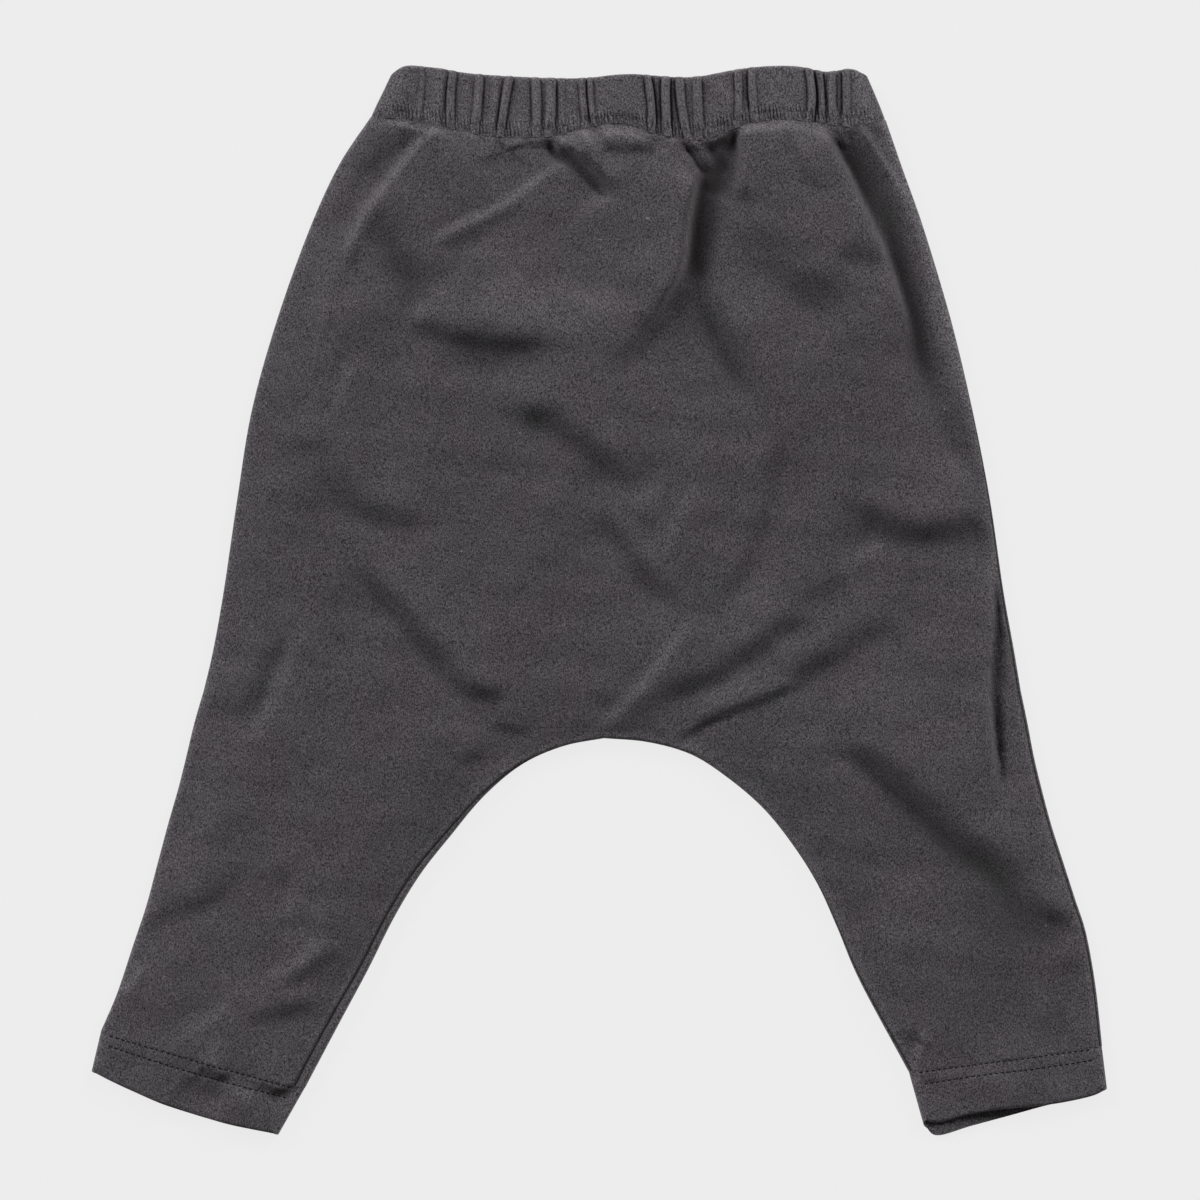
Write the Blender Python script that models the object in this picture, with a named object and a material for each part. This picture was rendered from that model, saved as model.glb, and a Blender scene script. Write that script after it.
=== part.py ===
"""Baby leggings in charcoal cotton jersey, laid flat with the front up.

The garment is cut as a front and a back panel. They meet along the two side seams and the one inseam that
runs from hem to hem over the low crotch. A gathered elastic casing closes the waist and a turned, twin-needle
hem closes each leg. Every piece is a wall of cloth. Its outer face is a grid of points worked out from the
section tables below, and its inner face is the same grid one cloth thickness further in.

Sizes are in millimetres until a mesh is made. +X is the photo's right, +Y is towards the waist and +Z is up.
The origin is at the middle of the garment, on the surface it lies on.
"""
import math
from collections import namedtuple

import bmesh
import bpy
import numpy as np

GARMENT = "baby_leggings"
MM = 0.001

# Cloth
JERSEY = 1.1          # one layer of brushed jersey
CASING = 2.3          # waistband wall: two layers of jersey over the elastic
CASING_SEAM = 1.6     # the same wall where the twin needles press it flat
HEM = 1.9             # hem wall: jersey turned up and stitched
SEAM_GAP = 0.3        # between two pieces at a seam

# How high the laid garment stands
EDGE_HEIGHT = 3.4     # both panels at the rolled side edges
LOWEST_TOP = 2.9      # front panel at the bottom of the deepest trough
BAND_HEIGHT = 5.2     # waistband between its pleats
BAND_SEAM_HEIGHT = 4.4
HEM_HEIGHT = 4.5
CROWN_REACH = 26.0    # how far in from an edge the cloth still climbs to its full height
SEAM_REACH = 10.0     # how far below the waist seam the front puffs up
WAVE_REACH = 26.0     # how far below the waist seam its waves die out

# Mesh spacing
ROW_STEP = 8.2
FIRST_ROWS = (2.6, 6.2, 11.0)      # closer rows below the waist seam
FRONT_COLUMNS = 16                 # cells from one side to the centre line, or across a leg
BACK_COLUMNS = 6

# The outline, from the waist seam down. The body's sections run from side to side.
Body = namedtuple("Body", "left_x left_y centre_x centre_y right_x right_y right_wrap")
BODY = (
    Body(-86.0, 181.0, 2.0, 177.5, 107.0, 180.0, 0.0),
    Body(-98.0, 163.0, 1.5, 161.0, 113.0, 163.0, 0.0),
    Body(-109.0, 139.0, 1.5, 135.5, 121.5, 139.0, 0.0),
    Body(-121.0, 105.5, 1.5, 103.5, 131.5, 105.5, 0.3),
    Body(-130.5, 71.5, 1.5, 71.5, 139.5, 71.5, 0.7),
    Body(-136.0, 38.0, 1.5, 40.0, 146.0, 38.0, 1.1),
    Body(-141.0, 4.0, 1.5, 8.0, 151.0, 4.0, 1.5),
    Body(-145.0, -18.5, 1.5, -22.0, 155.0, -18.5, 1.7),
    Body(-148.5, -33.5, 1.5, -51.5, 157.5, -33.5, 1.8),
)
# Each leg's sections run from its outer side to its inner edge and turn square to the leg on the way down. A wrap
# is how far the back panel comes round the edge onto the front.
Leg = namedtuple("Leg", "outer_x outer_y inner_x inner_y outer_wrap inner_wrap")
LEFT_LEG = (
    Leg(-148.5, -33.5, 1.5, -51.5, 0.0, 0.0),
    Leg(-152.0, -45.5, -14.0, -54.5, 0.0, 0.3),
    Leg(-155.0, -58.0, -29.0, -61.0, 0.0, 1.0),
    Leg(-158.0, -70.0, -43.0, -72.5, 0.0, 2.0),
    Leg(-162.0, -84.0, -56.0, -88.0, 0.0, 3.0),
    Leg(-166.0, -99.0, -67.0, -102.0, 0.0, 3.6),
    Leg(-170.0, -114.0, -77.0, -118.5, 0.0, 4.0),
    Leg(-175.0, -129.0, -87.0, -138.5, 0.0, 4.2),
    Leg(-181.0, -147.0, -97.5, -158.0, 0.0, 4.8),
    Leg(-187.0, -161.0, -110.5, -182.5, 0.0, 5.0),
)
RIGHT_LEG = (
    Leg(157.5, -33.5, 1.5, -51.5, 1.8, 0.0),
    Leg(160.0, -45.5, 18.0, -53.0, 1.8, 0.1),
    Leg(162.5, -58.5, 34.0, -57.5, 1.8, 0.2),
    Leg(165.5, -71.0, 47.5, -66.0, 1.8, 0.3),
    Leg(169.0, -84.0, 61.0, -77.5, 1.8, 0.4),
    Leg(173.5, -98.0, 72.0, -91.0, 1.8, 0.6),
    Leg(178.0, -112.0, 81.5, -106.0, 1.8, 0.8),
    Leg(182.0, -124.5, 89.0, -122.5, 1.8, 1.1),
    Leg(185.5, -144.0, 97.5, -142.5, 1.8, 1.6),
    Leg(188.0, -166.5, 115.5, -176.0, 1.8, 2.0),
)

# How far the front panel rises above EDGE_HEIGHT in the middle of the cloth
Crown = namedtuple("Crown", "y rise")
CROWNS = (
    Crown(190.0, 5.2),
    Crown(160.0, 5.6),
    Crown(130.0, 5.0),
    Crown(95.0, 4.2),
    Crown(50.0, 3.4),
    Crown(0.0, 3.0),
    Crown(-45.0, 3.0),
    Crown(-95.0, 2.6),
    Crown(-145.0, 1.8),
    Crown(-185.0, 1.2),
)

# Folds of the front: a soft ridge, or a trough where the height is negative, along a curve through three points
Fold = namedtuple("Fold", "start_x start_y bend_x bend_y end_x end_y width height")
FOLDS = (
    # below the band, left of the centre
    Fold(-60.0, 179.0, -80.0, 158.0, -96.0, 124.0, 5.0, 1.3),
    Fold(-61.0, 168.0, -77.0, 146.0, -91.0, 116.0, 6.0, -1.7),
    Fold(-14.0, 172.0, -8.0, 163.0, 4.0, 148.0, 7.5, -2.6),
    Fold(-14.0, 166.0, -37.0, 147.5, -70.0, 132.0, 4.5, 1.6),
    Fold(-35.0, 140.0, -48.0, 132.0, -68.0, 124.0, 6.0, -2.0),
    Fold(-84.0, 139.0, -76.0, 122.0, -71.0, 108.0, 6.5, -1.8),
    Fold(-71.0, 108.0, -45.0, 93.0, -10.0, 97.0, 7.0, -2.4),
    Fold(-60.0, 114.0, -26.0, 112.0, 6.0, 116.0, 12.0, 1.2),
    # the two deep troughs that run down from the band, and the puff between them
    Fold(44.0, 176.0, 43.0, 150.0, 34.0, 112.0, 8.5, -4.6),
    Fold(35.0, 116.0, 22.0, 102.0, 9.0, 84.0, 7.0, -1.8),
    Fold(36.0, 114.0, 47.0, 90.0, 54.0, 72.0, 7.0, -1.5),
    Fold(78.0, 178.0, 90.0, 156.0, 107.0, 132.0, 5.0, 1.3),
    Fold(90.0, 176.0, 117.0, 118.0, 128.0, 58.0, 7.0, -2.8),
    Fold(60.0, 136.0, 79.0, 105.0, 106.0, 131.0, 8.0, -1.6),
    # across the seat
    Fold(-36.0, 67.0, -12.0, 60.0, 11.0, 43.0, 7.0, -2.0),
    Fold(-108.0, 47.0, -84.0, 33.0, -60.0, 13.0, 7.0, -1.9),
    Fold(-93.0, 14.0, -65.0, -12.0, -44.0, -37.0, 7.0, -2.1),
    Fold(2.0, 24.0, 19.0, 1.0, 37.0, 19.0, 8.0, -1.9),
    Fold(92.0, 37.0, 112.0, 25.0, 142.0, 38.0, 7.0, -2.0),
    Fold(107.0, 23.0, 90.0, 12.0, 74.0, 0.0, 5.0, 1.3),
    Fold(36.0, -2.0, 21.0, -24.0, 1.0, -47.0, 4.5, 1.6),
    Fold(75.0, -6.0, 44.0, -28.0, 18.0, -38.0, 5.5, -2.4),
    Fold(110.0, -4.0, 68.0, -31.0, 29.0, -54.0, 5.5, -2.2),
    # the lip where the right side bulges over its seam
    Fold(147.0, 18.0, 145.5, -18.0, 152.0, -84.0, 4.5, 1.8),
    Fold(150.5, 14.0, 149.5, -18.0, 156.0, -84.0, 4.0, -2.0),
    # the legs
    Fold(74.0, -55.0, 88.0, -50.0, 100.0, -62.0, 6.0, -2.0),
    Fold(94.0, -56.0, 132.0, -88.0, 178.0, -126.0, 8.0, -3.4),
    Fold(-110.0, -2.0, -116.0, -26.0, -129.0, -56.0, 6.0, 1.2),
    Fold(-118.0, -17.0, -125.0, -31.0, -134.0, -47.0, 6.0, -1.4),
    Fold(-170.0, -121.0, -154.0, -114.0, -135.0, -105.0, 6.0, -1.7),
    Fold(-103.0, -133.0, -109.0, -138.0, -117.0, -142.0, 5.0, -1.5),
)

# The waistband: its top edge, its stitched lower edge and the pleats that the elastic gathers
Point = namedtuple("Point", "x y")
BAND_TOP = (
    Point(-79.0, 196.0), Point(-73.0, 200.0), Point(-62.0, 199.5), Point(-45.0, 197.0), Point(-11.0, 195.5),
    Point(11.0, 197.0), Point(34.0, 196.0), Point(56.0, 199.5), Point(73.0, 200.0), Point(84.5, 198.0),
    Point(94.0, 199.0), Point(100.5, 196.0),
)
BAND_SEAM = (
    Point(-86.0, 181.0), Point(-70.0, 179.0), Point(-53.0, 175.5), Point(-37.0, 173.0), Point(-15.0, 174.0),
    Point(1.0, 177.5), Point(17.0, 174.5), Point(37.0, 171.5), Point(52.0, 175.5), Point(70.0, 177.5),
    Point(85.0, 175.5), Point(107.0, 180.0),
)
BACK_SEAM = (
    Point(-86.0, 181.0), Point(-45.0, 176.5), Point(2.0, 175.0), Point(52.0, 176.0), Point(107.0, 180.0),
)
Pleat = namedtuple("Pleat", "top_x seam_x half_width height")
PLEATS = (
    Pleat(-72.0, -76.0, 5.0, 0.8),
    Pleat(-59.2, -61.1, 1.7, 0.8),
    Pleat(-54.8, -55.9, 1.3, 1.2),
    Pleat(-45.4, -46.5, 1.5, 1.3),
    Pleat(-39.0, -40.5, 1.3, 0.7),
    Pleat(-34.1, -37.1, 1.4, 1.3),
    Pleat(-24.4, -23.8, 1.6, 1.3),
    Pleat(-18.4, -18.8, 1.5, 1.2),
    Pleat(-14.3, -13.1, 1.2, 0.7),
    Pleat(-7.0, -5.6, 1.1, 1.2),
    Pleat(-3.9, -1.6, 1.1, 1.1),
    Pleat(8.0, 9.0, 7.4, 0.9),
    Pleat(18.4, 19.1, 1.2, 1.1),
    Pleat(24.4, 25.5, 1.5, 1.3),
    Pleat(29.6, 32.6, 1.5, 1.2),
    Pleat(36.4, 37.5, 1.5, 1.2),
    Pleat(42.0, 42.8, 2.2, 1.3),
    Pleat(51.4, 51.4, 1.6, 1.2),
    Pleat(56.6, 57.8, 1.3, 1.0),
    Pleat(67.0, 67.0, 7.4, 0.8),
    Pleat(78.2, 78.4, 1.1, 1.2),
    Pleat(81.8, 82.9, 1.3, 1.1),
    Pleat(86.6, 87.0, 1.4, 1.2),
    Pleat(91.6, 92.3, 1.2, 1.0),
    Pleat(96.2, 97.8, 1.9, 0.6),
)
FLAT_PLEAT = 4.0      # a pleat wider than this to each side has a flat top

# Free edges of the two hems. On the right leg the front's edge stands back from the back's.
LEFT_HEM_EDGE = (
    Point(-190.5, -176.0), Point(-177.0, -182.5), Point(-159.0, -190.0), Point(-140.0, -195.5),
    Point(-120.5, -199.8),
)
RIGHT_HEM_FRONT = (
    Point(121.0, -194.0), Point(127.0, -195.2), Point(139.0, -192.0), Point(152.0, -190.0),
    Point(168.5, -188.5), Point(183.5, -185.5), Point(190.1, -182.5),
)
RIGHT_HEM_BACK = (
    Point(121.0, -195.0), Point(126.0, -200.2), Point(139.0, -196.7), Point(154.5, -192.5),
    Point(168.5, -188.7), Point(183.5, -185.7), Point(190.1, -182.5),
)

# Rings of the two kinds of tube, from the seam at 0 to the free, folded edge at 1
Ring = namedtuple("Ring", "along bottom top wall relief")
FOLD_ROUND = 0.6      # what a folded edge loses at its outer and inner face
BAND_RINGS = (
    Ring(0.0, 0.0, BAND_SEAM_HEIGHT, CASING_SEAM, 0.15),
    Ring(0.09, 0.0, BAND_SEAM_HEIGHT, CASING_SEAM, 0.4),
    Ring(0.2, 0.0, BAND_HEIGHT, CASING, 0.9),
    Ring(0.6, 0.0, BAND_HEIGHT + 0.3, CASING, 1.0),
    Ring(0.94, 0.0, BAND_HEIGHT, CASING, 1.0),
    Ring(1.0, FOLD_ROUND, BAND_HEIGHT - FOLD_ROUND, CASING - 2 * FOLD_ROUND, 0.7),
)
HEM_RINGS = (
    Ring(0.0, 0.0, HEM_HEIGHT, HEM, 0.0),
    Ring(0.5, 0.0, HEM_HEIGHT + 0.3, HEM, 0.0),
    Ring(0.94, 0.0, HEM_HEIGHT, HEM, 0.0),
    Ring(1.0, FOLD_ROUND, HEM_HEIGHT - FOLD_ROUND, HEM - 2 * FOLD_ROUND, 0.0),
)
HEM_CELLS = 9         # cells across a hem's front or back
BAND_BACK_CELLS = 30

CHARCOAL = (0.060, 0.056, 0.060, 1.0)
CLOTH_ROUGHNESS = 0.92


def through(points, steps):
    """A smooth curve through the points, read at steps, where step 1 is the second point."""
    points = np.asarray(points, float)
    steps = np.asarray(steps, float)
    before = np.clip(np.floor(steps).astype(int), 0, len(points) - 2)
    padded = np.vstack([2 * points[0] - points[1], points, 2 * points[-1] - points[-2]])
    a, b, c, d = (padded[before + k] for k in range(4))
    t = (steps - before)[:, None]
    return 0.5 * (2 * b + (c - a) * t + (2 * a - 5 * b + 4 * c - d) * t ** 2 + (3 * b - a - 3 * c + d) * t ** 3)


def smooth(share):
    """Eases from 0 to 1."""
    share = np.clip(share, 0.0, 1.0)
    return share * share * (3 - 2 * share)


def even_steps(table, first=()):
    """Steps along a section table that lie ROW_STEP apart on average, after the first few distances."""
    fine = np.linspace(0, len(table) - 1, 40 * len(table))
    spots = through(table, fine)[:, :4].reshape(len(fine), 2, 2)
    lengths = np.linalg.norm(np.diff(spots, axis=0), axis=2).mean(axis=1)
    walked = np.concatenate([[0.0], np.cumsum(lengths)])
    start = first[-1] if first else 0.0
    rest = np.linspace(start, walked[-1], round((walked[-1] - start) / ROW_STEP) + 1)
    if first:
        rest = np.concatenate([[0.0], first[:-1], rest])
    return np.interp(rest, walked, fine)


def inward(edge):
    """Unit normals of an edge, to the left of its direction."""
    direction = np.gradient(edge, axis=0)
    direction /= np.linalg.norm(direction, axis=1)[:, None]
    return np.column_stack([-direction[:, 1], direction[:, 0]])


class Outline:
    """Rows of the garment from waist to hems, with its edges, their normals and the wraps."""

    def __init__(self):
        body_steps = even_steps(BODY, FIRST_ROWS)
        leg_steps = even_steps(LEFT_LEG)
        body = through(BODY, body_steps)
        left = through(LEFT_LEG, leg_steps)
        right = through(RIGHT_LEG, leg_steps)
        self.crotch = len(body) - 1
        self.rows = self.crotch + len(left)
        self.left = np.vstack([body[:, 0:2], left[1:, 0:2]])
        self.right = np.vstack([body[:, 4:6], right[1:, 0:2]])
        self.right_wrap = np.concatenate([body[:, 6], right[1:, 4]])
        self.centre = body[:, 2:4]
        arch = np.vstack([left[::-1, 2:4], right[1:, 2:4]])
        arch_normal = inward(arch)
        self.left_arch = arch[:len(left)][::-1]
        self.left_arch_in = arch_normal[:len(left)][::-1]
        self.right_arch = arch[len(left) - 1:]
        self.right_arch_in = arch_normal[len(left) - 1:]
        self.left_in = inward(self.left)
        self.right_in = -inward(self.right)
        self.left_arch_wrap = left[:, 5]
        self.right_arch_wrap = right[:, 5]
        for edge, edge_in, arch, arch_in in (
            (self.left, self.left_in, self.left_arch, self.left_arch_in),
            (self.right, self.right_in, self.right_arch, self.right_arch_in),
        ):
            across = arch[-1] - edge[-1]
            edge_in[-1] = across / np.linalg.norm(across)
            arch_in[-1] = -edge_in[-1]
        self.border = np.vstack([self.left, self.left_arch[::-1], self.right_arch, self.right[::-1]])


def curve_y(points, x):
    """The height of a left-to-right curve at each x."""
    fine = through(points, np.linspace(0, len(points) - 1, 12 * len(points)))
    return np.interp(x, fine[:, 0], fine[:, 1])


def nearest(spots, line):
    """Distance from each spot to a line of points, and how far along it the nearest place is, from 0 to 1."""
    best = np.full(len(spots), np.inf)
    along = np.zeros(len(spots))
    for k in range(len(line) - 1):
        step = line[k + 1] - line[k]
        share = np.clip((spots - line[k]) @ step / (step @ step + 1e-9), 0, 1)
        gap = np.linalg.norm(spots - line[k] - share[:, None] * step, axis=1)
        closer = gap < best
        best[closer] = gap[closer]
        along[closer] = (k + share[closer]) / (len(line) - 1)
    return best, along


def front_height(spots, outline):
    """Height of the front's outer face above the surface, at each spot."""
    from_edge, _ = nearest(spots, outline.border)
    crowns = np.array(CROWNS)[::-1]
    rise = np.interp(spots[:, 1], crowns[:, 0], crowns[:, 1])
    for fold in FOLDS:
        bends = np.array(fold[:6]).reshape(3, 2)
        gap, along = nearest(spots, through(bends, np.linspace(0, 2, 11)))
        rise = rise + fold.height * np.exp(-(gap / fold.width) ** 2) * (4 * along * (1 - along)) ** 0.5
    radius = EDGE_HEIGHT / 2
    top = EDGE_HEIGHT + rise * smooth((from_edge - radius) / CROWN_REACH) ** 0.6
    below_seam = curve_y(BAND_SEAM, spots[:, 0]) - spots[:, 1]
    top = BAND_SEAM_HEIGHT + (top - BAND_SEAM_HEIGHT) * smooth(below_seam / SEAM_REACH + 0.05)
    return LOWEST_TOP + np.logaddexp(0.0, (top - LOWEST_TOP) * 3) / 3


def rolled(along):
    """Outer and inner (inset, height) on the rolled edge, a distance along it from its outermost line, up being plus.

    Past the quarter turn the inset grows with the distance and the height is left to the caller.
    """
    radius = EDGE_HEIGHT / 2
    angle = np.clip(along / radius, -math.pi / 2, math.pi / 2)
    flat = np.abs(along) - radius * math.pi / 2
    flat = np.maximum(flat, 0.0)
    outer = radius - radius * np.cos(angle) + flat, radius + radius * np.sin(angle)
    small = radius - JERSEY
    inner = radius - small * np.cos(angle) + flat, radius + small * np.sin(angle)
    return outer, inner


QUARTER = EDGE_HEIGHT / 2 * math.pi / 2      # along the rolled edge, from its outermost line to its top


def edge_columns(wrap, front, count):
    """Distances along the roll for the count columns of a panel next to an edge, seam first."""
    if front:
        start = wrap + SEAM_GAP / 2
        fixed = np.linspace(0.0, QUARTER, count)
        return [np.maximum(start + 0.6 * k, fixed[k]) for k in range(count)]
    start = wrap - SEAM_GAP / 2
    fixed = np.linspace(QUARTER if count > 4 else 0.0, -QUARTER, count - 1)
    return [start] + [np.minimum(start - 0.3 * (k + 1), fixed[k]) for k in range(count - 1)]


def strip(edge, normal, wrap, front, count):
    """Columns of outer and inner points beside one edge, seam first: a list of (outer xy, inner xy, outer z, inner z)."""
    columns = []
    for along in edge_columns(wrap, front, count):
        outer, inner = rolled(along)
        columns.append((edge + normal * outer[0][:, None], edge + normal * inner[0][:, None], outer[1], inner[1]))
    return columns


def between(first, last, cells):
    """Plan positions of the columns strictly between two columns."""
    return [first + (last - first) * (k / cells) for k in range(1, cells)]


def lay(columns, front, outline):
    """Stack columns into arrays of outer and inner points. Where the cloth is past the roll it follows the height."""
    outer = np.stack([np.column_stack([c[0], c[2]]) for c in columns], axis=1)
    inner = np.stack([np.column_stack([c[1], c[3]]) for c in columns], axis=1)
    radius = EDGE_HEIGHT / 2
    height = front_height(outer[:, :, :2].reshape(-1, 2), outline).reshape(outer.shape[:2])
    on_top = outer[:, :, 2] > 2 * radius - 1e-6
    outer[:, :, 2] = np.where(on_top, height, outer[:, :, 2])
    inner[:, :, 2] = np.where(on_top, height - JERSEY, inner[:, :, 2])
    inner[:, :, :2] = np.where(on_top[:, :, None], outer[:, :, :2], inner[:, :, :2])
    return outer, inner


def plain_column(spots, front):
    """A column in the open cloth: on top for the front, on the surface for the back."""
    high = np.full(len(spots), EDGE_HEIGHT if front else 0.0)
    return spots.copy(), spots.copy(), high, high + (-JERSEY if front else JERSEY)


def wave(spots, seam, outline):
    """Bend the first rows to the waist seam, fading out below it."""
    left, centre, right = outline.left[0], outline.centre[0], outline.right[0]
    straight = np.interp(spots[:, 0], [left[0], centre[0], right[0]], [left[1], centre[1], right[1]])
    fade = 1 - smooth((straight - spots[:, 1]) / WAVE_REACH)
    shift = curve_y(seam, spots[:, 0]) - straight
    return np.column_stack([spots[:, 0], spots[:, 1] + shift * fade])


def panel_patches(front, outline):
    """The panel's three patches as (outer, inner) grids: the body, the left leg and the right leg."""
    cells = FRONT_COLUMNS if front else BACK_COLUMNS
    side_count, right_count, arch_count = (3, 3, 3) if front else (3, 4, 5)
    crotch = outline.crotch
    left = strip(outline.left, outline.left_in, np.zeros(outline.rows), front, side_count)
    right = strip(outline.right, outline.right_in, outline.right_wrap, front, right_count)
    arches = []
    for edge, normal, wrap in (
        (outline.left_arch, outline.left_arch_in, outline.left_arch_wrap),
        (outline.right_arch, outline.right_arch_in, outline.right_arch_wrap),
    ):
        arches.append(strip(edge, normal, wrap, front, arch_count))
    centre = outline.centre.copy()
    centre[-1] = arches[0][-1][0][0]

    def cut(columns, rows):
        return [tuple(part[rows] for part in column) for column in columns]

    top, low = slice(0, crotch + 1), slice(crotch, None)
    middle = [plain_column(spots, front) for spots in (
        between(left[-1][0][top], centre, cells) + [centre] + between(centre, right[-1][0][top], cells)
    )]
    patches = [cut(left, top) + middle + cut(right, top)[::-1]]
    for side, arch in ((left, arches[0]), (right, arches[1])):
        across = [plain_column(spots, front) for spots in between(side[-1][0][low], arch[-1][0], cells)]
        patches.append(cut(side, low) + across + arch[::-1])
    for column in patches[0]:
        for spots in column[:2]:
            spots[:crotch] = wave(spots[:crotch], BAND_SEAM if front else BACK_SEAM, outline)
    return [lay(columns, front, outline) for columns in patches]


def add_grid(bm, outer, inner):
    """Add a grid of cloth at its outer points, each of which remembers its inner point."""
    layer = bm.verts.layers.float_vector.get("inner") or bm.verts.layers.float_vector.new("inner")
    rows, columns = outer.shape[:2]
    grid = bmesh.ops.create_grid(bm, x_segments=columns - 1, y_segments=rows - 1, size=1.0)
    for vertex in grid["verts"]:
        column = round((vertex.co.x + 1) / 2 * (columns - 1))
        row = round((vertex.co.y + 1) / 2 * (rows - 1))
        vertex.co = outer[row, column] * MM
        vertex[layer] = inner[row, column] * MM


def finish_wall(bm, name):
    """Join the grids, give the cloth its inner face and make the object."""
    bmesh.ops.remove_doubles(bm, verts=bm.verts, dist=0.02 * MM)
    layer = bm.verts.layers.float_vector["inner"]
    copied = bmesh.ops.extrude_face_region(bm, geom=bm.faces[:], use_keep_orig=True)
    for vertex in copied["geom"]:
        if isinstance(vertex, bmesh.types.BMVert):
            vertex.co = vertex[layer]
    bmesh.ops.recalc_face_normals(bm, faces=bm.faces)
    mesh = bpy.data.meshes.new(name)
    bm.to_mesh(mesh)
    bm.free()
    mesh.shade_smooth()
    return bpy.data.objects.new(name, mesh)


def make_panel(name, front, outline):
    bm = bmesh.new()
    for outer, inner in panel_patches(front, outline):
        add_grid(bm, outer, inner)
    return finish_wall(bm, name)


def make_tube(name, seams, free_edges, rings, front_columns, back_columns):
    """A flattened tube of cloth from a seam to a folded free edge.

    The seam and the free edge each have a front and a back curve, which run from the tube's left end to its right
    end. A column is (share across at the free edge, share across at the seam, relief).
    """
    free_front, free_back = free_edges
    seam_front, seam_back = seams
    full_radius = max(ring.top for ring in rings) / 2
    width = np.linalg.norm(np.subtract(free_front[-1], free_front[0]))
    inset = full_radius / width
    turns = np.radians([45.0, 0.0, -45.0])

    def on(curve, share):
        return through(curve, [share * (len(curve) - 1)])[0]

    def spot(share_free, share_seam, upper, ring):
        """Plan position. upper is 1 on the front, 0 on the back and between them round an end."""
        free = on(free_front, share_free) * upper + on(free_back, share_free) * (1 - upper)
        start = on(seam_front, share_seam) * upper + on(seam_back, share_seam) * (1 - upper)
        start = start + (free - start) * SEAM_GAP / np.linalg.norm(free - start)
        return start + (free - start) * ring.along

    rows = []
    for ring in rings:
        middle = (ring.top + ring.bottom) / 2
        outer_radius = (ring.top - ring.bottom) / 2
        inner_radius = outer_radius - ring.wall
        row = []
        for free, start, relief in front_columns:
            free, start = (inset + share * (1 - 2 * inset) for share in (free, start))
            x, y = spot(free, start, 1.0, ring)
            row.append(((x, y, ring.top + relief * ring.relief), (x, y, ring.top - ring.wall)))
        row += end_turn(spot, 1.0, 1 - inset, ring, full_radius, outer_radius, inner_radius, middle, turns)
        for free, start, _ in back_columns[::-1]:
            free, start = (inset + share * (1 - 2 * inset) for share in (free, start))
            x, y = spot(free, start, 0.0, ring)
            row.append(((x, y, ring.bottom), (x, y, ring.bottom + ring.wall)))
        row += end_turn(spot, 0.0, inset, ring, full_radius, outer_radius, inner_radius, middle, turns[::-1])
        row.append(row[0])
        rows.append(row)
    grid = np.array(rows)
    bm = bmesh.new()
    add_grid(bm, grid[:, :, 0], grid[:, :, 1])
    return finish_wall(bm, name)


def end_turn(spot, end, centre, ring, full_radius, outer_radius, inner_radius, middle, turns):
    """Points round one end of a flattened tube."""
    points = []
    for turn in turns:
        upper = (1 + math.sin(turn)) / 2
        axis = spot(centre, centre, upper, ring)
        outwards = spot(end, end, upper, ring) - axis
        outwards = outwards / np.linalg.norm(outwards)
        pair = []
        for radius in (outer_radius, inner_radius):
            x, y = axis + outwards * radius * math.cos(turn)
            pair.append((x, y, middle + radius * math.sin(turn)))
        points.append(tuple(pair))
    return points


def share_on(curve, x):
    """How far along a left-to-right curve an x lies, from 0 to 1."""
    steps = np.linspace(0, len(curve) - 1, 20 * len(curve))
    return float(np.interp(x, through(curve, steps)[:, 0], steps) / (len(curve) - 1))


def pleat_columns():
    """Columns of the band's front: a foot, a crest and a foot for each pleat, or two shoulders on a flat one."""
    marks = []
    for pleat in PLEATS:
        shoulder = pleat.half_width - 1.2 if pleat.half_width > FLAT_PLEAT else 0.0
        for side in (-1, 1):
            marks.append((side * pleat.half_width, 0.0, pleat))
            if shoulder:
                marks.append((side * shoulder, pleat.height, pleat))
        if not shoulder:
            marks.append((0.0, pleat.height, pleat))
    columns = []
    for offset, relief, pleat in marks:
        columns.append((
            share_on(BAND_TOP, pleat.top_x + offset),
            share_on(BAND_SEAM, pleat.seam_x + offset),
            relief,
        ))
    columns.sort()
    kept = [(0.0, 0.0, 0.0)]
    for column in columns:
        too_close = min(column[0] - kept[-1][0], column[1] - kept[-1][1]) < 0.0025
        if too_close and column[2] == 0.0:
            continue
        if too_close and kept[-1][2] == 0.0 and len(kept) > 1:
            kept.pop()
        kept.append(column)
    return kept + [(1.0, 1.0, 0.0)]


def even_columns(cells):
    return [(k / cells, k / cells, 0.0) for k in range(cells + 1)]


def jersey_material():
    material = bpy.data.materials.new("charcoal_jersey")
    material.use_nodes = True
    shader = material.node_tree.nodes["Principled BSDF"]
    shader.inputs["Base Color"].default_value = CHARCOAL
    shader.inputs["Roughness"].default_value = CLOTH_ROUGHNESS
    shader.inputs["Metallic"].default_value = 0.0
    material.diffuse_color = CHARCOAL
    return material


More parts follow.
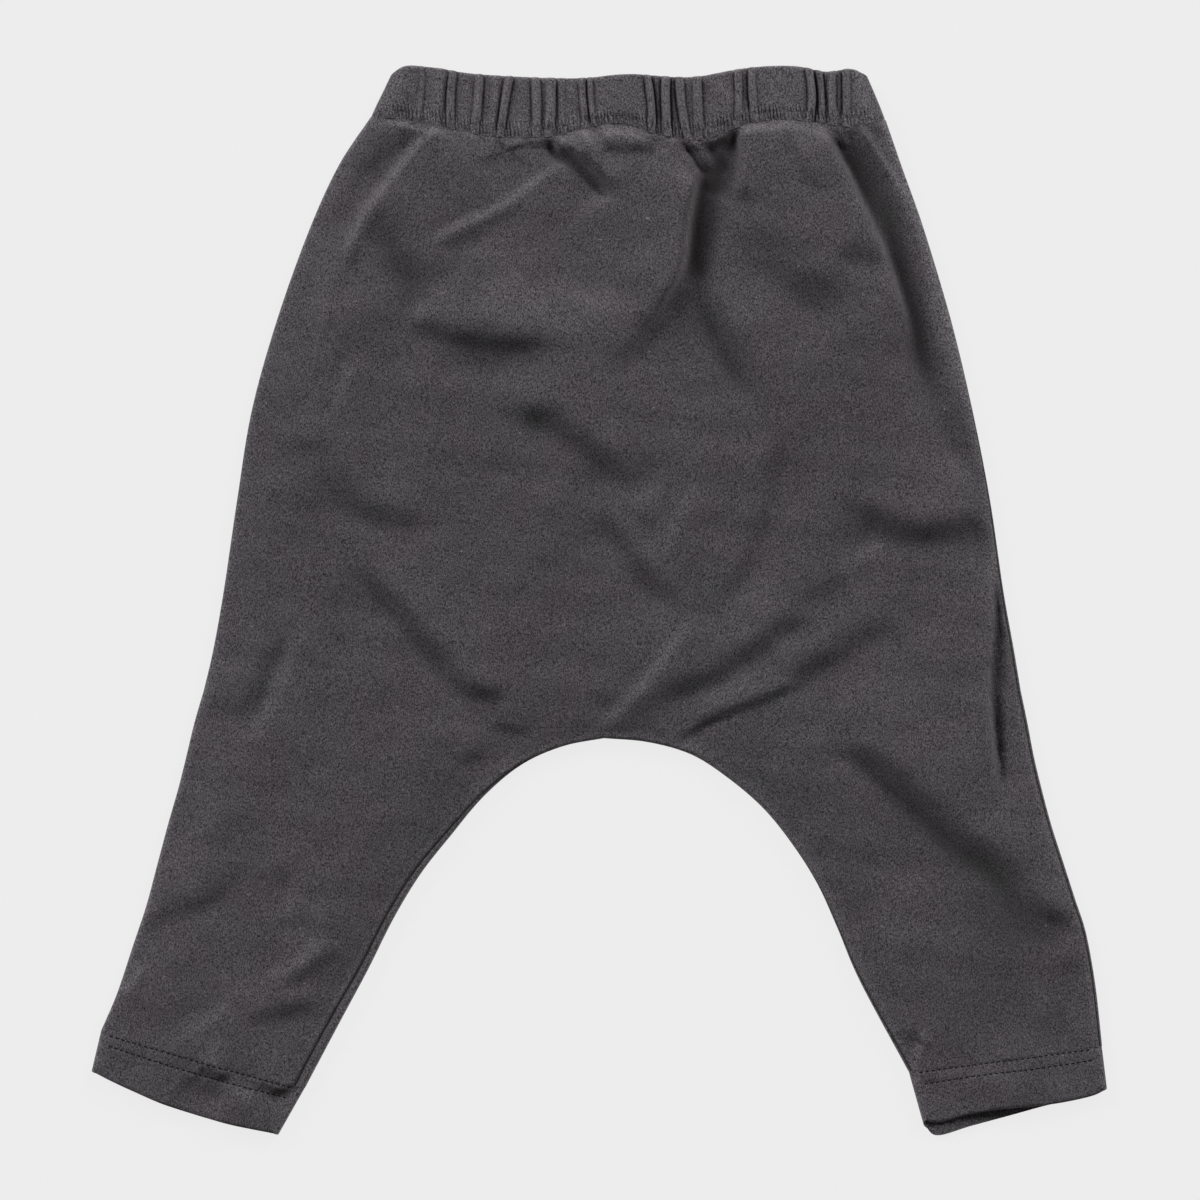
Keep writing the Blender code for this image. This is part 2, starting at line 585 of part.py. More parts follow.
def main():
    for old in list(bpy.data.objects):
        bpy.data.objects.remove(old)
    collection = bpy.data.collections.new(GARMENT)
    bpy.context.scene.collection.children.link(collection)
    root = bpy.data.objects.new(GARMENT, None)
    collection.objects.link(root)

    outline = Outline()
    left_seam = (Point(*outline.left[-1]), Point(*outline.left_arch[-1]))
    right_seam = (Point(*outline.right_arch[-1]), Point(*outline.right[-1]))
    pieces = [
        make_panel("front_panel", True, outline),
        make_panel("back_panel", False, outline),
        make_tube("waistband", (BAND_SEAM, BACK_SEAM), (BAND_TOP, BAND_TOP), BAND_RINGS, pleat_columns(),
                  even_columns(BAND_BACK_CELLS)),
        make_tube("hem_left", (left_seam, left_seam), (LEFT_HEM_EDGE, LEFT_HEM_EDGE), HEM_RINGS,
                  even_columns(HEM_CELLS), even_columns(HEM_CELLS)),
        make_tube("hem_right", (right_seam, right_seam), (RIGHT_HEM_FRONT, RIGHT_HEM_BACK), HEM_RINGS,
                  even_columns(HEM_CELLS), even_columns(HEM_CELLS)),
    ]
    cloth = jersey_material()
    for piece in pieces:
        piece.data.materials.append(cloth)
        piece.parent = root
        collection.objects.link(piece)


main()
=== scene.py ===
"""Baby leggings in charcoal cotton jersey, laid flat with the front up: cloth, folds, stitching and studio.

The garment is five pieces of cloth that a maker would cut and sew: a front and a back panel, a gathered
elastic waistband and two turned hems. Each is a wall of cloth. Its outer face is a grid of points worked out
from section tables and fold tables, and its inner face is the same grid one cloth thickness further in. The
sewing thread lies on the cloth as stitches of its own.

Tables and functions work in millimetres until a mesh is made. +X is the photo's right, +Y is towards the waist
and +Z is up. The origin is at the middle of the garment, on the surface it lies on.
"""

import math
from collections import namedtuple

import bmesh
import bpy
import numpy as np
from mathutils import Matrix, Vector


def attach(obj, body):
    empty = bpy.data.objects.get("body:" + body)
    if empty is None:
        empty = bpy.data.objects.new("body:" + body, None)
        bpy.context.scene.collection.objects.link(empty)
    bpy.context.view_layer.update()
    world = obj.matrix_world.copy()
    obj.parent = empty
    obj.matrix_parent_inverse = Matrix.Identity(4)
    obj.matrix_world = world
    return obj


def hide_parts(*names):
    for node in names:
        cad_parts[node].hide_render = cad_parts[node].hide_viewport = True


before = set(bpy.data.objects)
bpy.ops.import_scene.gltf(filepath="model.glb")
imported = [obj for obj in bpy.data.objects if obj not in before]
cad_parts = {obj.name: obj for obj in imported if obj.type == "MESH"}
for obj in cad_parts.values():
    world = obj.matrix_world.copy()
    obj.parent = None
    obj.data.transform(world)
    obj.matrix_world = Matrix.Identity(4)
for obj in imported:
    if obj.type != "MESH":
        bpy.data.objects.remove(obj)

bl_info = {
    "name": "Baby leggings",
    "version": (1, 0, 0),
    "blender": (4, 5, 0),
    "location": "View3D > Sidebar > Leggings",
    "description": "Cloth, folds, stitching and studio for charcoal baby leggings that lie flat",
    "category": "Object",
}

MM = 0.001
SEED = 11

# Cloth
SEAM_GAP = 0.06       # between two pieces at a seam
EDGE_HEIGHT = 3.4     # both panels at the rolled side edges
LOWEST_TOP = 2.5      # front panel at the bottom of the deepest trough
BAND_HEIGHT = 5.2     # waistband between its pleats
BAND_SEAM_HEIGHT = 4.9
CROWN_REACH = 26.0    # how far in from an edge the cloth still climbs to its full height
FOLD_REACH = 6.0      # how far in from an edge the folds reach their full height
WAVE_REACH = 26.0     # how far below the waist seam its waves die out
SEAM_STRIP = 3.0      # cloth beside a seam that the seam's relief reaches
SEAM_PUFF = 17.0      # how far below the waist seam the front climbs to its full height
PAINTED_SHADE_DEPTH = 7.0       # a trough this deep gets the full painted shade
HIGHEST_ARCH = 2.6    # the most that the underside arches up from the surface

# Mesh
FRONT_ROW = 1.55      # between rows of the front, after the closer ones below the waist seam
FRONT_FIRST_ROWS = np.arange(0.5, 8.1, 0.5)
FRONT_CELLS = 84      # cells from a side to the centre line, or across a leg
BACK_ROW = 2.4
BACK_FIRST_ROWS = np.arange(0.8, 8.1, 0.8)
BACK_CELLS = 52
BAND_CELLS = (680, 300)      # cells across the front and the back of the tube
HEM_CELLS = (130, 90)

# The outline, from the waist seam down. The body's sections run from side to side: left x and y, centre x
# and y, right x and y, and the wrap on the right.
BODY = (
    (-86, 181, 2, 177.5, 107, 180, 0),
    (-98, 163, 1.5, 161, 113, 163, 0),
    (-109, 139, 1.5, 135.5, 121.5, 139, 0),
    (-121, 105.5, 1.5, 103.5, 131.5, 105.5, 0.3),
    (-130.5, 71.5, 1.5, 71.5, 139.5, 71.5, 0.7),
    (-136, 38, 1.5, 40, 146, 38, 1.1),
    (-141, 4, 1.5, 8, 151, 4, 1.5),
    (-145, -18.5, 1.5, -22, 155, -18.5, 1.7),
    (-148.5, -33.5, 1.5, -51.5, 157.5, -33.5, 1.8),
)
# Each leg's sections run from its outer side to its inner edge and turn square to the leg on the way
# down. A wrap is how far the back panel comes round the edge onto the front. Outer x and y, inner x and
# y, outer wrap, inner wrap.
LEFT_LEG = (
    (-148.5, -33.5, 1.5, -51.5, 0, 0),
    (-152, -45.5, -14, -54.5, 0, 0.3),
    (-155, -58, -29, -61, 0, 1),
    (-158, -70, -43, -72.5, 0, 2),
    (-162, -84, -56, -88, 0, 3),
    (-166, -99, -67, -102, 0, 3.6),
    (-170, -114, -77, -118.5, 0, 4),
    (-175, -129, -87, -138.5, 0, 4.2),
    (-181, -147, -97.5, -158, 0, 4.8),
    (-187, -161, -110.5, -182.5, 0, 5),
)
RIGHT_LEG = (
    (157.5, -33.5, 1.5, -51.5, 1.8, 0),
    (160, -45.5, 18, -53, 1.8, 0.1),
    (162.5, -58.5, 34, -57.5, 1.8, 0.2),
    (165.5, -71, 47.5, -66, 1.8, 0.3),
    (169, -84, 61, -77.5, 1.8, 0.4),
    (173.5, -98, 72, -91, 1.8, 0.6),
    (178, -112, 81.5, -106, 1.8, 0.8),
    (182, -124.5, 89, -122.5, 1.8, 1.1),
    (185.5, -144, 97.5, -142.5, 1.8, 1.6),
    (188, -166.5, 115.5, -176, 1.8, 2),
)

# How far the front panel rises above EDGE_HEIGHT in the middle of the cloth: y and rise
CROWNS = (
    (-185, 1.2),
    (-145, 1.8),
    (-95, 2.6),
    (-45, 3),
    (0, 3.4),
    (50, 4.6),
    (80, 5.4),
    (105, 5.6),
    (135, 5.2),
    (160, 4.4),
    (190, 2.6),
)

# A fold runs along a path of (x, y) points. Its lift is a soft ridge, or a trough where it is negative,
# and its drop is half of what the cloth steps down from the left of the path to its right. Width is half
# the width of the ridge and of the step, and reach how far to both sides the cloth comes back to its
# level. A fold grows over the first share of its path, rise, and dies out over the last, fall.
Fold = namedtuple("Fold", "lift drop width reach rise fall path")
FRONT_FOLDS = [Fold(*row) for row in (
    # below the band, left of the centre
    (0.8, -0.4, 1.5, 6, 0.1, 0.2, ((-87, 179.5), (-78, 178.8), (-70, 177), (-63, 175))),
    (-0.8, -2, 5, 14, 0.15, 0.5, ((-62, 175), (-73, 170.5), (-85, 163), (-95, 148), (-103, 128))),
    (0.8, 1.5, 2.2, 9, 0.05, 0.2, ((-58, 179), (-68, 170.5), (-80, 155.5), (-89, 142.5), (-94.5, 130),
        (-96, 120))),
    (-1, -1.6, 5, 12, 0.3, 0.3, ((-74, 152), (-85, 141), (-91, 130), (-95, 117), (-97, 108))),
    (-2.8, 0, 6.5, 13, 0.3, 0.2, ((-88, 141), (-80, 131), (-74, 120), (-70, 112), (-64, 105))),
    (-0.5, 0.8, 4.5, 12, 0.3, 0.3, ((-66, 129), (-52, 134), (-38, 141), (-26, 150))),
    (0.55, -1.2, 1.7, 8, 0.2, 0.2, ((-68, 132), (-50, 141), (-37, 147), (-25, 156), (-12, 165.5))),
    (-0.4, 1.8, 3.8, 20, 0.25, 0.35, (
        (-77, 118), (-73, 109), (-67, 102.5), (-58, 98.7), (-47, 96.5), (-35, 95), (-20, 95.3), (-6, 97))),
    (-1.1, 0, 7, 12, 0.3, 0.3, ((-62, 93), (-48, 90), (-30, 87), (-14, 88))),
    (0.8, 0, 13, 12, 0.25, 0.25, ((-54, 111), (-28, 109), (-2, 106), (18, 102))),
    (-1.2, 0.6, 1.3, 5, 0.05, 0.4, ((-39, 175), (-37, 170.5), (-34.5, 166))),
    (-0.5, -0.9, 2.8, 7, 0.2, 0.4, ((-35, 168), (-46, 160))),
    (-0.5, 0.7, 2.8, 7, 0.2, 0.4, ((-34.5, 168), (-25, 159.5))),
    (-3.2, 2.5, 2.7, 11, 0.05, 0.2, ((-20, 175), (-17, 168.5), (-9.5, 164.5), (-3.5, 159), (5, 149.5))),
    (-1.2, 0, 1.8, 5, 0.2, 0.3, ((-8.7, 175), (-8.2, 167))),
    (0.8, -0.8, 1.8, 5, 0.1, 0.4, ((-7.5, 178), (-4.5, 172), (-0.5, 166.5))),
    (0.4, 0.7, 2.5, 8, 0.3, 0.3, ((-104, 128), (-104.5, 112), (-104, 95))),
    (0.4, 0.7, 2.5, 8, 0.3, 0.3, ((-92, 92), (-96, 78), (-100, 64))),
    # the centre puff and the trough that forks below it
    (0.8, 0, 3, 9, 0.2, 0.2, ((-1, 173.5), (8, 174.2), (17, 172.5))),
    (-0.5, 1.3, 2.2, 8, 0.2, 0.2, ((-1, 168.5), (9, 168), (16, 168.3), (22, 169.5))),
    (-1.6, 0.4, 1.6, 5, 0.05, 0.5, ((19.8, 181), (20.5, 174), (20.3, 169), (17.5, 162))),
    (-1.1, 0.2, 1.1, 4, 0.1, 0.5, ((22.5, 176), (24.3, 165.5))),
    (-3, 0.6, 1.6, 7, 0.05, 0.3, ((31, 173), (34.5, 167.5), (37.8, 162), (42, 157))),
    (-1.8, 1.1, 1.7, 8, 0.05, 0.4, ((39.5, 173), (42, 168), (46.5, 163.5), (50, 158))),
    (-4, 0, 4.8, 9, 0.05, 0.3, ((48, 178), (47, 168), (44, 160), (42, 150))),
    (0.2, 2.4, 1, 9, 0.05, 0.3, ((51.5, 178), (52.2, 168), (51.5, 159), (49.5, 148))),
    (0.2, -2.3, 1, 12, 0.1, 0.25, (
        (37.5, 160.5), (35, 153), (34, 147), (32.8, 138), (32.2, 130), (29.8, 122), (25, 113), (19, 105))),
    (-1.9, 0, 1.9, 6, 0.1, 0.3, ((40, 160), (37.8, 152), (35.8, 142), (34.6, 132), (33.6, 124), (31, 116))),
    (-3, 0, 5.5, 10, 0.15, 0.3, ((44, 160), (42, 150), (40.2, 140), (38.4, 130), (36.4, 120), (35.5, 108))),
    (-1.2, -1.7, 4, 16, 0.3, 0.4, ((32, 118), (26, 109), (19, 100), (12, 90), (4, 82))),
    (-2.2, 2, 5, 18, 0.3, 0.3, ((36, 120), (41, 107), (47, 94), (52, 83), (57, 70))),
    # the right puff and the long trough beside it
    (0.6, 0, 2.6, 9, 0.1, 0.1, ((42, 171.5), (50, 174.5), (58, 176.4), (68, 177.2), (80, 175.6),
        (87, 170.5))),
    (-0.4, 0.9, 2.2, 7, 0.2, 0.4, ((70, 173), (76, 160.5), (84, 148))),
    (-2.2, 2, 9, 24, 0.4, 0.3, ((46, 136), (60, 129), (71, 119), (82, 110), (96, 106))),
    (-1.2, 1.2, 6, 14, 0.4, 0.3, ((86, 129), (98, 126), (110, 124))),
    (0.2, -2.5, 1.3, 10, 0.08, 0.3, (
        (82, 178), (87, 170.5), (92.8, 161), (97.4, 150), (102, 140), (107.6, 128), (112.3, 115),
        (116.5, 100),
        (119.5, 87))),
    (-1.6, 0, 1.7, 6, 0.1, 0.5, ((88, 173), (94.8, 161.5), (99.4, 151), (104, 141), (109, 130))),
    (-3.6, 0, 4.6, 9, 0.1, 0.3, (
        (88, 175), (96, 163.5), (103, 152), (108, 142), (111.5, 130), (115, 116), (119, 100), (123, 84),
        (129, 66))),
    (-2, 1.6, 6, 14, 0.3, 0.25, ((108, 116), (114, 103), (120.5, 90), (129.5, 68), (138, 50), (144, 40))),
    (0.6, -0.3, 1.2, 3, 0.2, 0.5, ((88.5, 176), (92.4, 171), (95.5, 167))),
    (1.5, -0.8, 1.3, 6, 0.1, 0.3, ((98, 178), (103.5, 168), (109, 160), (115, 150.5), (120, 140))),
    # across the seat
    (-1, 2.5, 5, 18, 0.25, 0.3, ((-38, 65), (-28, 68.5), (-18, 66.5), (-8, 59), (1, 51.5), (9, 44),
        (16, 38))),
    (-0.8, 2, 6.5, 15, 0.25, 0.3, ((-110, 50), (-98, 41.5), (-87, 33), (-74, 28), (-62, 25))),
    (-0.2, 1.2, 4.5, 9, 0.4, 0.4, ((-116, 60), (-108, 57), (-102, 54))),
    (-1.2, 2.1, 4, 15, 0.3, 0.15, (
        (-98, 18), (-88, 8.5), (-76, -4), (-67, -14.5), (-59, -24), (-51, -33.5), (-41, -36), (-31, -34))),
    (-1.2, 2, 4.5, 12, 0.25, 0.3, ((-2, 34), (8, 21), (16, 9), (25, 0), (33, -3))),
    (-0.3, 1.2, 4.5, 9, 0.3, 0.3, ((10, 38), (17, 29), (24, 27))),
    (0.5, 0.9, 3, 8, 0.3, 0.3, ((33, 45), (29, 30), (21, 11))),
    (-1.2, -1.6, 4, 11, 0.25, 0.3, ((68, 66), (65, 48), (63, 32), (58, 17), (50, 3), (42, -8))),
    (-1.3, 2.4, 5.5, 22, 0.35, 0.15, ((86, 38), (98, 32), (108, 27), (120, 23.5), (133, 26), (147, 31))),
    (0.4, 0.9, 3, 8, 0.3, 0.3, ((107, 24), (97, 15), (86, 7))),
    (-0.2, -1.2, 4, 10, 0.3, 0.3, ((104, 19), (92, 10), (78, 1), (66, -6))),
    (-1.6, -2.1, 4.5, 14, 0.15, 0.25, ((79, -5), (68, -12), (57, -20), (47, -27.5), (39, -31.5), (29, -35),
        (15, -41))),
    (0.5, 1.3, 1.8, 7, 0.2, 0.1, ((36, -3), (27, -17), (18, -29), (8, -40), (0, -47))),
    (-1.2, -1.8, 5.5, 14, 0.2, 0.1, ((112, -6), (97, -16.5), (84, -24), (70, -32.5))),
    (-0.9, -1.3, 1.8, 8, 0.1, 0.05, ((76, -31), (62, -37), (50, -41.5), (40, -46), (33, -51), (29, -56))),
    # the lip where the right side bulges over its seam
    (2.4, -1.4, 1.3, 6, 0.12, 0.5, ((148.5, 24), (146.5, 5), (146, -12), (144.5, -28), (146, -60),
        (152, -90))),
    (-3, -1, 1.6, 5, 0.1, 0.3, ((150, 14), (149, -10), (147.5, -28), (148.5, -50), (152, -80))),
    # the right leg
    (-1.3, 0, 22, 9, 0.25, 0.2, ((112, -58), (132, -84), (150, -115), (154, -145), (156, -178))),
    (-2.5, 1.7, 5.4, 14, 0.25, 0.12, (
        (76, -56), (88, -56.5), (99, -60.5), (110, -70), (122, -81), (134, -92), (146, -99.5), (153, -108),
        (160, -118), (170, -122.5), (183, -121))),
    (0, 2, 13, 36, 0.3, 0.2, ((78, -56), (99, -60.5), (122, -80), (146, -99), (166, -120), (186, -124))),
    (0, 1, 30, 50, 0.2, 0.15, ((96, -150), (140, -143), (186, -140))),
    (-0.3, 1, 5, 11, 0.3, 0.3, ((160, -161), (168, -157), (178, -154))),
    (-0.3, 1, 5, 11, 0.3, 0.3, ((170, -137), (180, -138), (186, -140))),
    (-2, 1.2, 2, 5, 0.2, 0.2, ((109, -161), (114, -165), (121, -163.5))),
    (1.8, 0.9, 1.3, 5, 0.2, 0.1, ((123, -161), (119.5, -166), (118, -173), (119, -181))),
    (-2.2, 0.6, 2, 5, 0.2, 0.1, ((112, -167), (115.5, -173), (118, -180))),
    # the left leg
    (-0.9, -1.5, 4.5, 11, 0.25, 0.3, ((-117, -12), (-123, -25), (-129, -38), (-137, -50))),
    (0.5, 1.1, 3, 9, 0.25, 0.3, ((-111, -5), (-117, -24), (-124, -42), (-130, -58))),
    (-0.2, 1, 4.5, 9, 0.3, 0.3, ((-151, -40), (-140, -40), (-130, -44))),
    (-0.3, 1, 2.8, 7, 0.3, 0.3, ((-42, -46), (-33, -48.5), (-25, -51))),
    (-0.3, 0.9, 2.8, 7, 0.3, 0.3, ((-54, -62), (-48, -59), (-42, -57.5))),
    (0.3, 0.6, 4.5, 10, 0.4, 0.4, ((-144, -73), (-150, -91))),
    (-0.9, 1.7, 5.5, 14, 0.1, 0.4, ((-173, -122), (-163, -118), (-150, -114.5), (-140, -108.5),
        (-130, -102))),
    (0.4, 0.9, 3, 9, 0.3, 0.3, ((-113, -100), (-115, -112), (-117, -122))),
    (0.35, 1, 2.8, 8, 0.2, 0.3, ((-102, -125), (-110, -133), (-118, -138.5), (-128, -142))),
    (-0.5, -1.2, 3, 9, 0.2, 0.4, ((-96, -130), (-103, -135), (-111, -141), (-121, -146))),
    (-0.4, -1.2, 3.8, 10, 0.2, 0.3, ((-104, -151), (-113, -153), (-124, -156), (-136, -159))),
    (0.25, 0.9, 3.2, 9, 0.3, 0.3, ((-136, -149), (-148, -158), (-160, -165))),
    (-1.2, 1.6, 5, 12, 0.3, 0.3, ((-157, -178), (-149, -183), (-139, -185.5))),
    (-0.8, 0.9, 1.6, 6, 0.2, 0.3, ((-150, -174), (-143, -178.5), (-137, -179))),
    (-0.5, 1, 2.2, 7, 0.2, 0.2, ((-129, -181), (-122, -183.5), (-114, -186))),
    (-0.6, 0.9, 1.8, 6, 0.2, 0.2, ((-125, -186), (-118, -184), (-111, -180))),
    (0.5, -0.8, 3, 8, 0.4, 0.4, ((-139, -182), (-127, -189))),
    (0.9, 0.8, 2.2, 6, 0.3, 0.1, ((-170, -134), (-174, -141), (-179, -146.5))),
)]
# Troughs on the underside, which arch up from the surface
BACK_FOLDS = [Fold(*row) for row in (
    (1.8, 0, 5, 9, 0.1, 0.6, ((-52, 176), (-58, 150), (-74, 122))),
    (1.5, 0, 4, 9, 0.1, 0.6, ((-24, 175), (-18, 152), (-24, 128))),
    (2.2, 0, 5.5, 9, 0.1, 0.6, ((18, 175), (22, 140), (38, 100))),
    (1.4, 0, 4.5, 9, 0.1, 0.6, ((64, 176), (70, 150), (64, 126))),
    (1.8, 0, 5, 9, 0.1, 0.6, ((88, 177), (100, 148), (112, 104))),
    (1.4, 0, 6.5, 9, 0.4, 0.4, ((-104, 84), (-62, 66), (-28, 70))),
    (1.5, 0, 6, 9, 0.4, 0.4, ((22, 62), (58, 40), (104, 44))),
    (1.6, 0, 6, 9, 0.4, 0.3, ((-118, 12), (-74, -8), (-34, -42))),
    (1.7, 0, 5.5, 9, 0.4, 0.2, ((112, 2), (70, -22), (34, -50))),
    (1.2, 0, 5, 9, 0.4, 0.4, ((-12, 24), (8, -4), (10, -38))),
    (1.3, 0, 6, 9, 0.4, 0.4, ((-146, -78), (-118, -96), (-84, -104))),
    (1.6, 0, 6, 9, 0.4, 0.4, ((96, -66), (126, -92), (160, -104))),
    (0.9, 0, 5, 9, 0.4, 0.4, ((-164, -140), (-136, -148), (-116, -142))),
    (0.9, 0, 5, 9, 0.4, 0.4, ((112, -146), (140, -140), (168, -150))),
)]

# The waistband: its top edge, its stitched lower edge, the smoother one of its back, and the needle rows
BAND_TOP = (
    (-79, 196), (-73, 200), (-62, 199.5), (-45, 197), (-11, 195.5),
    (11, 197), (34, 196), (56, 199.5), (73, 200), (84.5, 198),
    (94, 199), (100.5, 196),
)
BAND_SEAM = (
    (-86, 181), (-70, 179.5), (-53, 176), (-37, 173.3), (-17, 173.8),
    (-2, 177.5), (9, 178.4), (19, 175), (36, 172.2), (46, 174.8),
    (56, 178.6), (70, 180), (83, 178.5), (94, 177.3), (107, 180),
)
BACK_SEAM = (
    (-86, 181), (-45, 176.5), (2, 175), (52, 176), (107, 180),
)
BAND_ROWS = (0.7, 3.1)       # the two needle rows, above the waist seam
BAND_PITCH = 1.31            # from one stitch to the next
# A pleat is a ridge whose middle passes through three x positions. left_dip and right_dip are the creases
# beside it.
Pleat = namedtuple("Pleat", "top_x middle_x seam_x half_width height left_dip right_dip")
PLEATS = [Pleat(*row) for row in (
    (-73.5, -75, -77, 5.2, 0.5, 0, 0.1),
    (-66.7, -66.7, -68.1, 0.7, 0.5, 0.1, 0.3),
    (-59.1, -60.4, -61.9, 2, 0.5, 0.1, 0.2),
    (-55, -56, -55.6, 1.15, 1, 0.4, 0.4),
    (-45, -45.8, -46.8, 1.15, 1, 0.2, 0.5),
    (-38.6, -39.5, -40.5, 1.3, 0.6, 0.1, 0.3),
    (-33.8, -36, -37.4, 1.15, 1.1, 0.4, 0.5),
    (-24.2, -23.7, -23.7, 1.25, 1, 0.4, 0.4),
    (-18.3, -18.5, -19.2, 1.45, 1.1, 0.1, 0.4),
    (-14.4, -14.4, -13.4, 1.1, 0.6, 0.1, 0.1),
    (-6.6, -5.9, -4.9, 1.1, 0.9, 0.2, 0.3),
    (-3.9, -3.6, -2.2, 0.9, 0.9, 0.6, 0.2),
    (8, 8.4, 9, 8, 0.7, 0, 0),
    (17.6, 19.2, 19.4, 1.1, 0.9, 0.4, 0.8),
    (24.6, 24.6, 25.6, 1.25, 1.1, 0.6, 0.7),
    (29.6, 30.6, 33, 1.2, 1, 0.6, 0.3),
    (36.1, 36.6, 37.1, 1.25, 0.9, 0.2, 0.4),
    (45.2, 45.8, 45.6, 4.2, 0.8, 0.2, 0.1),
    (51.4, 51.7, 51.4, 1.1, 1, 0.2, 0.2),
    (56.7, 57, 58.2, 1.1, 0.9, 0.6, 0.1),
    (67, 67.2, 67, 7.6, 0.5, 0, 0),
    (78, 79.4, 78.2, 1.2, 1, 0.4, 0.9),
    (81.8, 82.8, 82.8, 0.95, 0.9, 0.2, 0.5),
    (86.9, 86.6, 87.6, 1.15, 1, 0.2, 0.3),
    (91.9, 92.1, 92.1, 1.1, 0.8, 0.6, 0.1),
    (97.5, 98.4, 99, 3, 0.4, 0, 0.1),
)]
WIDE_PLEAT = 3      # a pleat wider than this to each side has a flat top

# Free edges of the two hems. On the right leg the front's edge stands back from the back's.
LEFT_HEM_EDGE = (
    (-190.5, -176), (-177, -182.5), (-159, -190), (-140, -195.5),
    (-120.5, -199.8),
)
RIGHT_HEM_FRONT = (
    (121, -194), (127, -195.2), (139, -192), (152, -190),
    (168.5, -188.5), (183.5, -185.5), (190.1, -182.5),
)
RIGHT_HEM_BACK = (
    (121, -195), (126, -200.2), (139, -196.7), (154.5, -192.5),
    (168.5, -188.7), (183.5, -185.7), (190.1, -182.5),
)
HEM_ROWS = (0.6, 4.1)        # needle rows, from the hem's seam line towards its edge
HEM_PITCH = 2.3

# A ring of a flattened tube: its distance from the seam, half the tube's height at its ends, and the
# wall. A tube's seam and its free edge each have a front and a back curve, from the tube's left end to
# its right end. Its face function gives the height of the front or of the back at spots on a ring, and
# the wear with painted light and shade there.
Ring = namedtuple("Ring", "away radius wall")
Tube = namedtuple("Tube", "seams free_edges rings depth face rows")
BAND_DEPTH = 20.5     # the waistband's usual height, seam to edge
HEM_DEPTH = 15.5


# ------------------------------------------------------------------------------------------- curves

def through(points, steps):
    """A smooth curve through the points, read at steps, where step 1 is the second point."""
    points = np.asarray(points, float)
    steps = np.asarray(steps, float)
    before = np.clip(np.floor(steps).astype(int), 0, len(points) - 2)
    padded = np.vstack([2 * points[0] - points[1], points, 2 * points[-1] - points[-2]])
    a, b, c, d = (padded[before + k] for k in range(4))
    t = (steps - before)[:, None]
    squared, cubed = 2 * a - 5 * b + 4 * c - d, 3 * b - a - 3 * c + d
    return 0.5 * (2 * b + (c - a) * t + squared * t ** 2 + cubed * t ** 3)


def smooth(share):
    """Eases from 0 to 1."""
    share = np.clip(share, 0.0, 1.0)
    return share * share * (3 - 2 * share)


def bell(distance, width):
    """1 at distance 0, fading to nothing past about two widths."""
    return np.exp(-(distance / width) ** 2)


def unit(vectors):
    return vectors / np.linalg.norm(vectors, axis=-1, keepdims=True)


def curve_y(points, x):
    """The height of a left-to-right curve at each x."""
    fine = through(points, np.linspace(0, len(points) - 1, 12 * len(points)))
    return np.interp(x, fine[:, 0], fine[:, 1])


def spread(points, shares):
    """Spots on a left-to-right curve, evenly spaced in x, from one end at 0 to the other at 1."""
    x = points[0][0] + (points[-1][0] - points[0][0]) * shares
    return np.column_stack([x, curve_y(points, x)])


def nearest(spots, line):
    """Each spot's distance from a line, plus to its left and minus to its right, and its place along it."""
    best = np.full(len(spots), np.inf)
    side = np.ones(len(spots))
    along = np.zeros(len(spots))
    walked = np.concatenate([[0.0], np.cumsum(np.linalg.norm(np.diff(line, axis=0), axis=1))])
    for k in range(len(line) - 1):
        step = line[k + 1] - line[k]
        offset = spots - line[k]
        share = np.clip(offset @ step / (step @ step + 1e-9), 0, 1)
        gap = np.linalg.norm(offset - share[:, None] * step, axis=1)
        closer = gap < best
        best[closer] = gap[closer]
        side[closer] = np.sign(step[0] * offset[closer, 1] - step[1] * offset[closer, 0])
        along[closer] = walked[k] + share[closer] * (walked[k + 1] - walked[k])
    return best * side, along / walked[-1], walked[-1]


def even_steps(table, spacing, first=()):
    """Steps along a section table that lie a spacing apart on average, after the first few distances."""
    fine = np.linspace(0, len(table) - 1, 40 * len(table))
    spots = through(table, fine)[:, :4].reshape(len(fine), 2, 2)
    lengths = np.linalg.norm(np.diff(spots, axis=0), axis=2).mean(axis=1)
    walked = np.concatenate([[0.0], np.cumsum(lengths)])
    start = first[-1] if len(first) else 0.0
    rest = np.linspace(start, walked[-1], round((walked[-1] - start) / spacing) + 1)
    if len(first):
        rest = np.concatenate([[0.0], first[:-1], rest])
    return np.interp(rest, walked, fine)


def inward(edge):
    """Unit normals of an edge, to the left of its direction."""
    direction = unit(np.gradient(edge, axis=0))
    return np.column_stack([-direction[:, 1], direction[:, 0]])


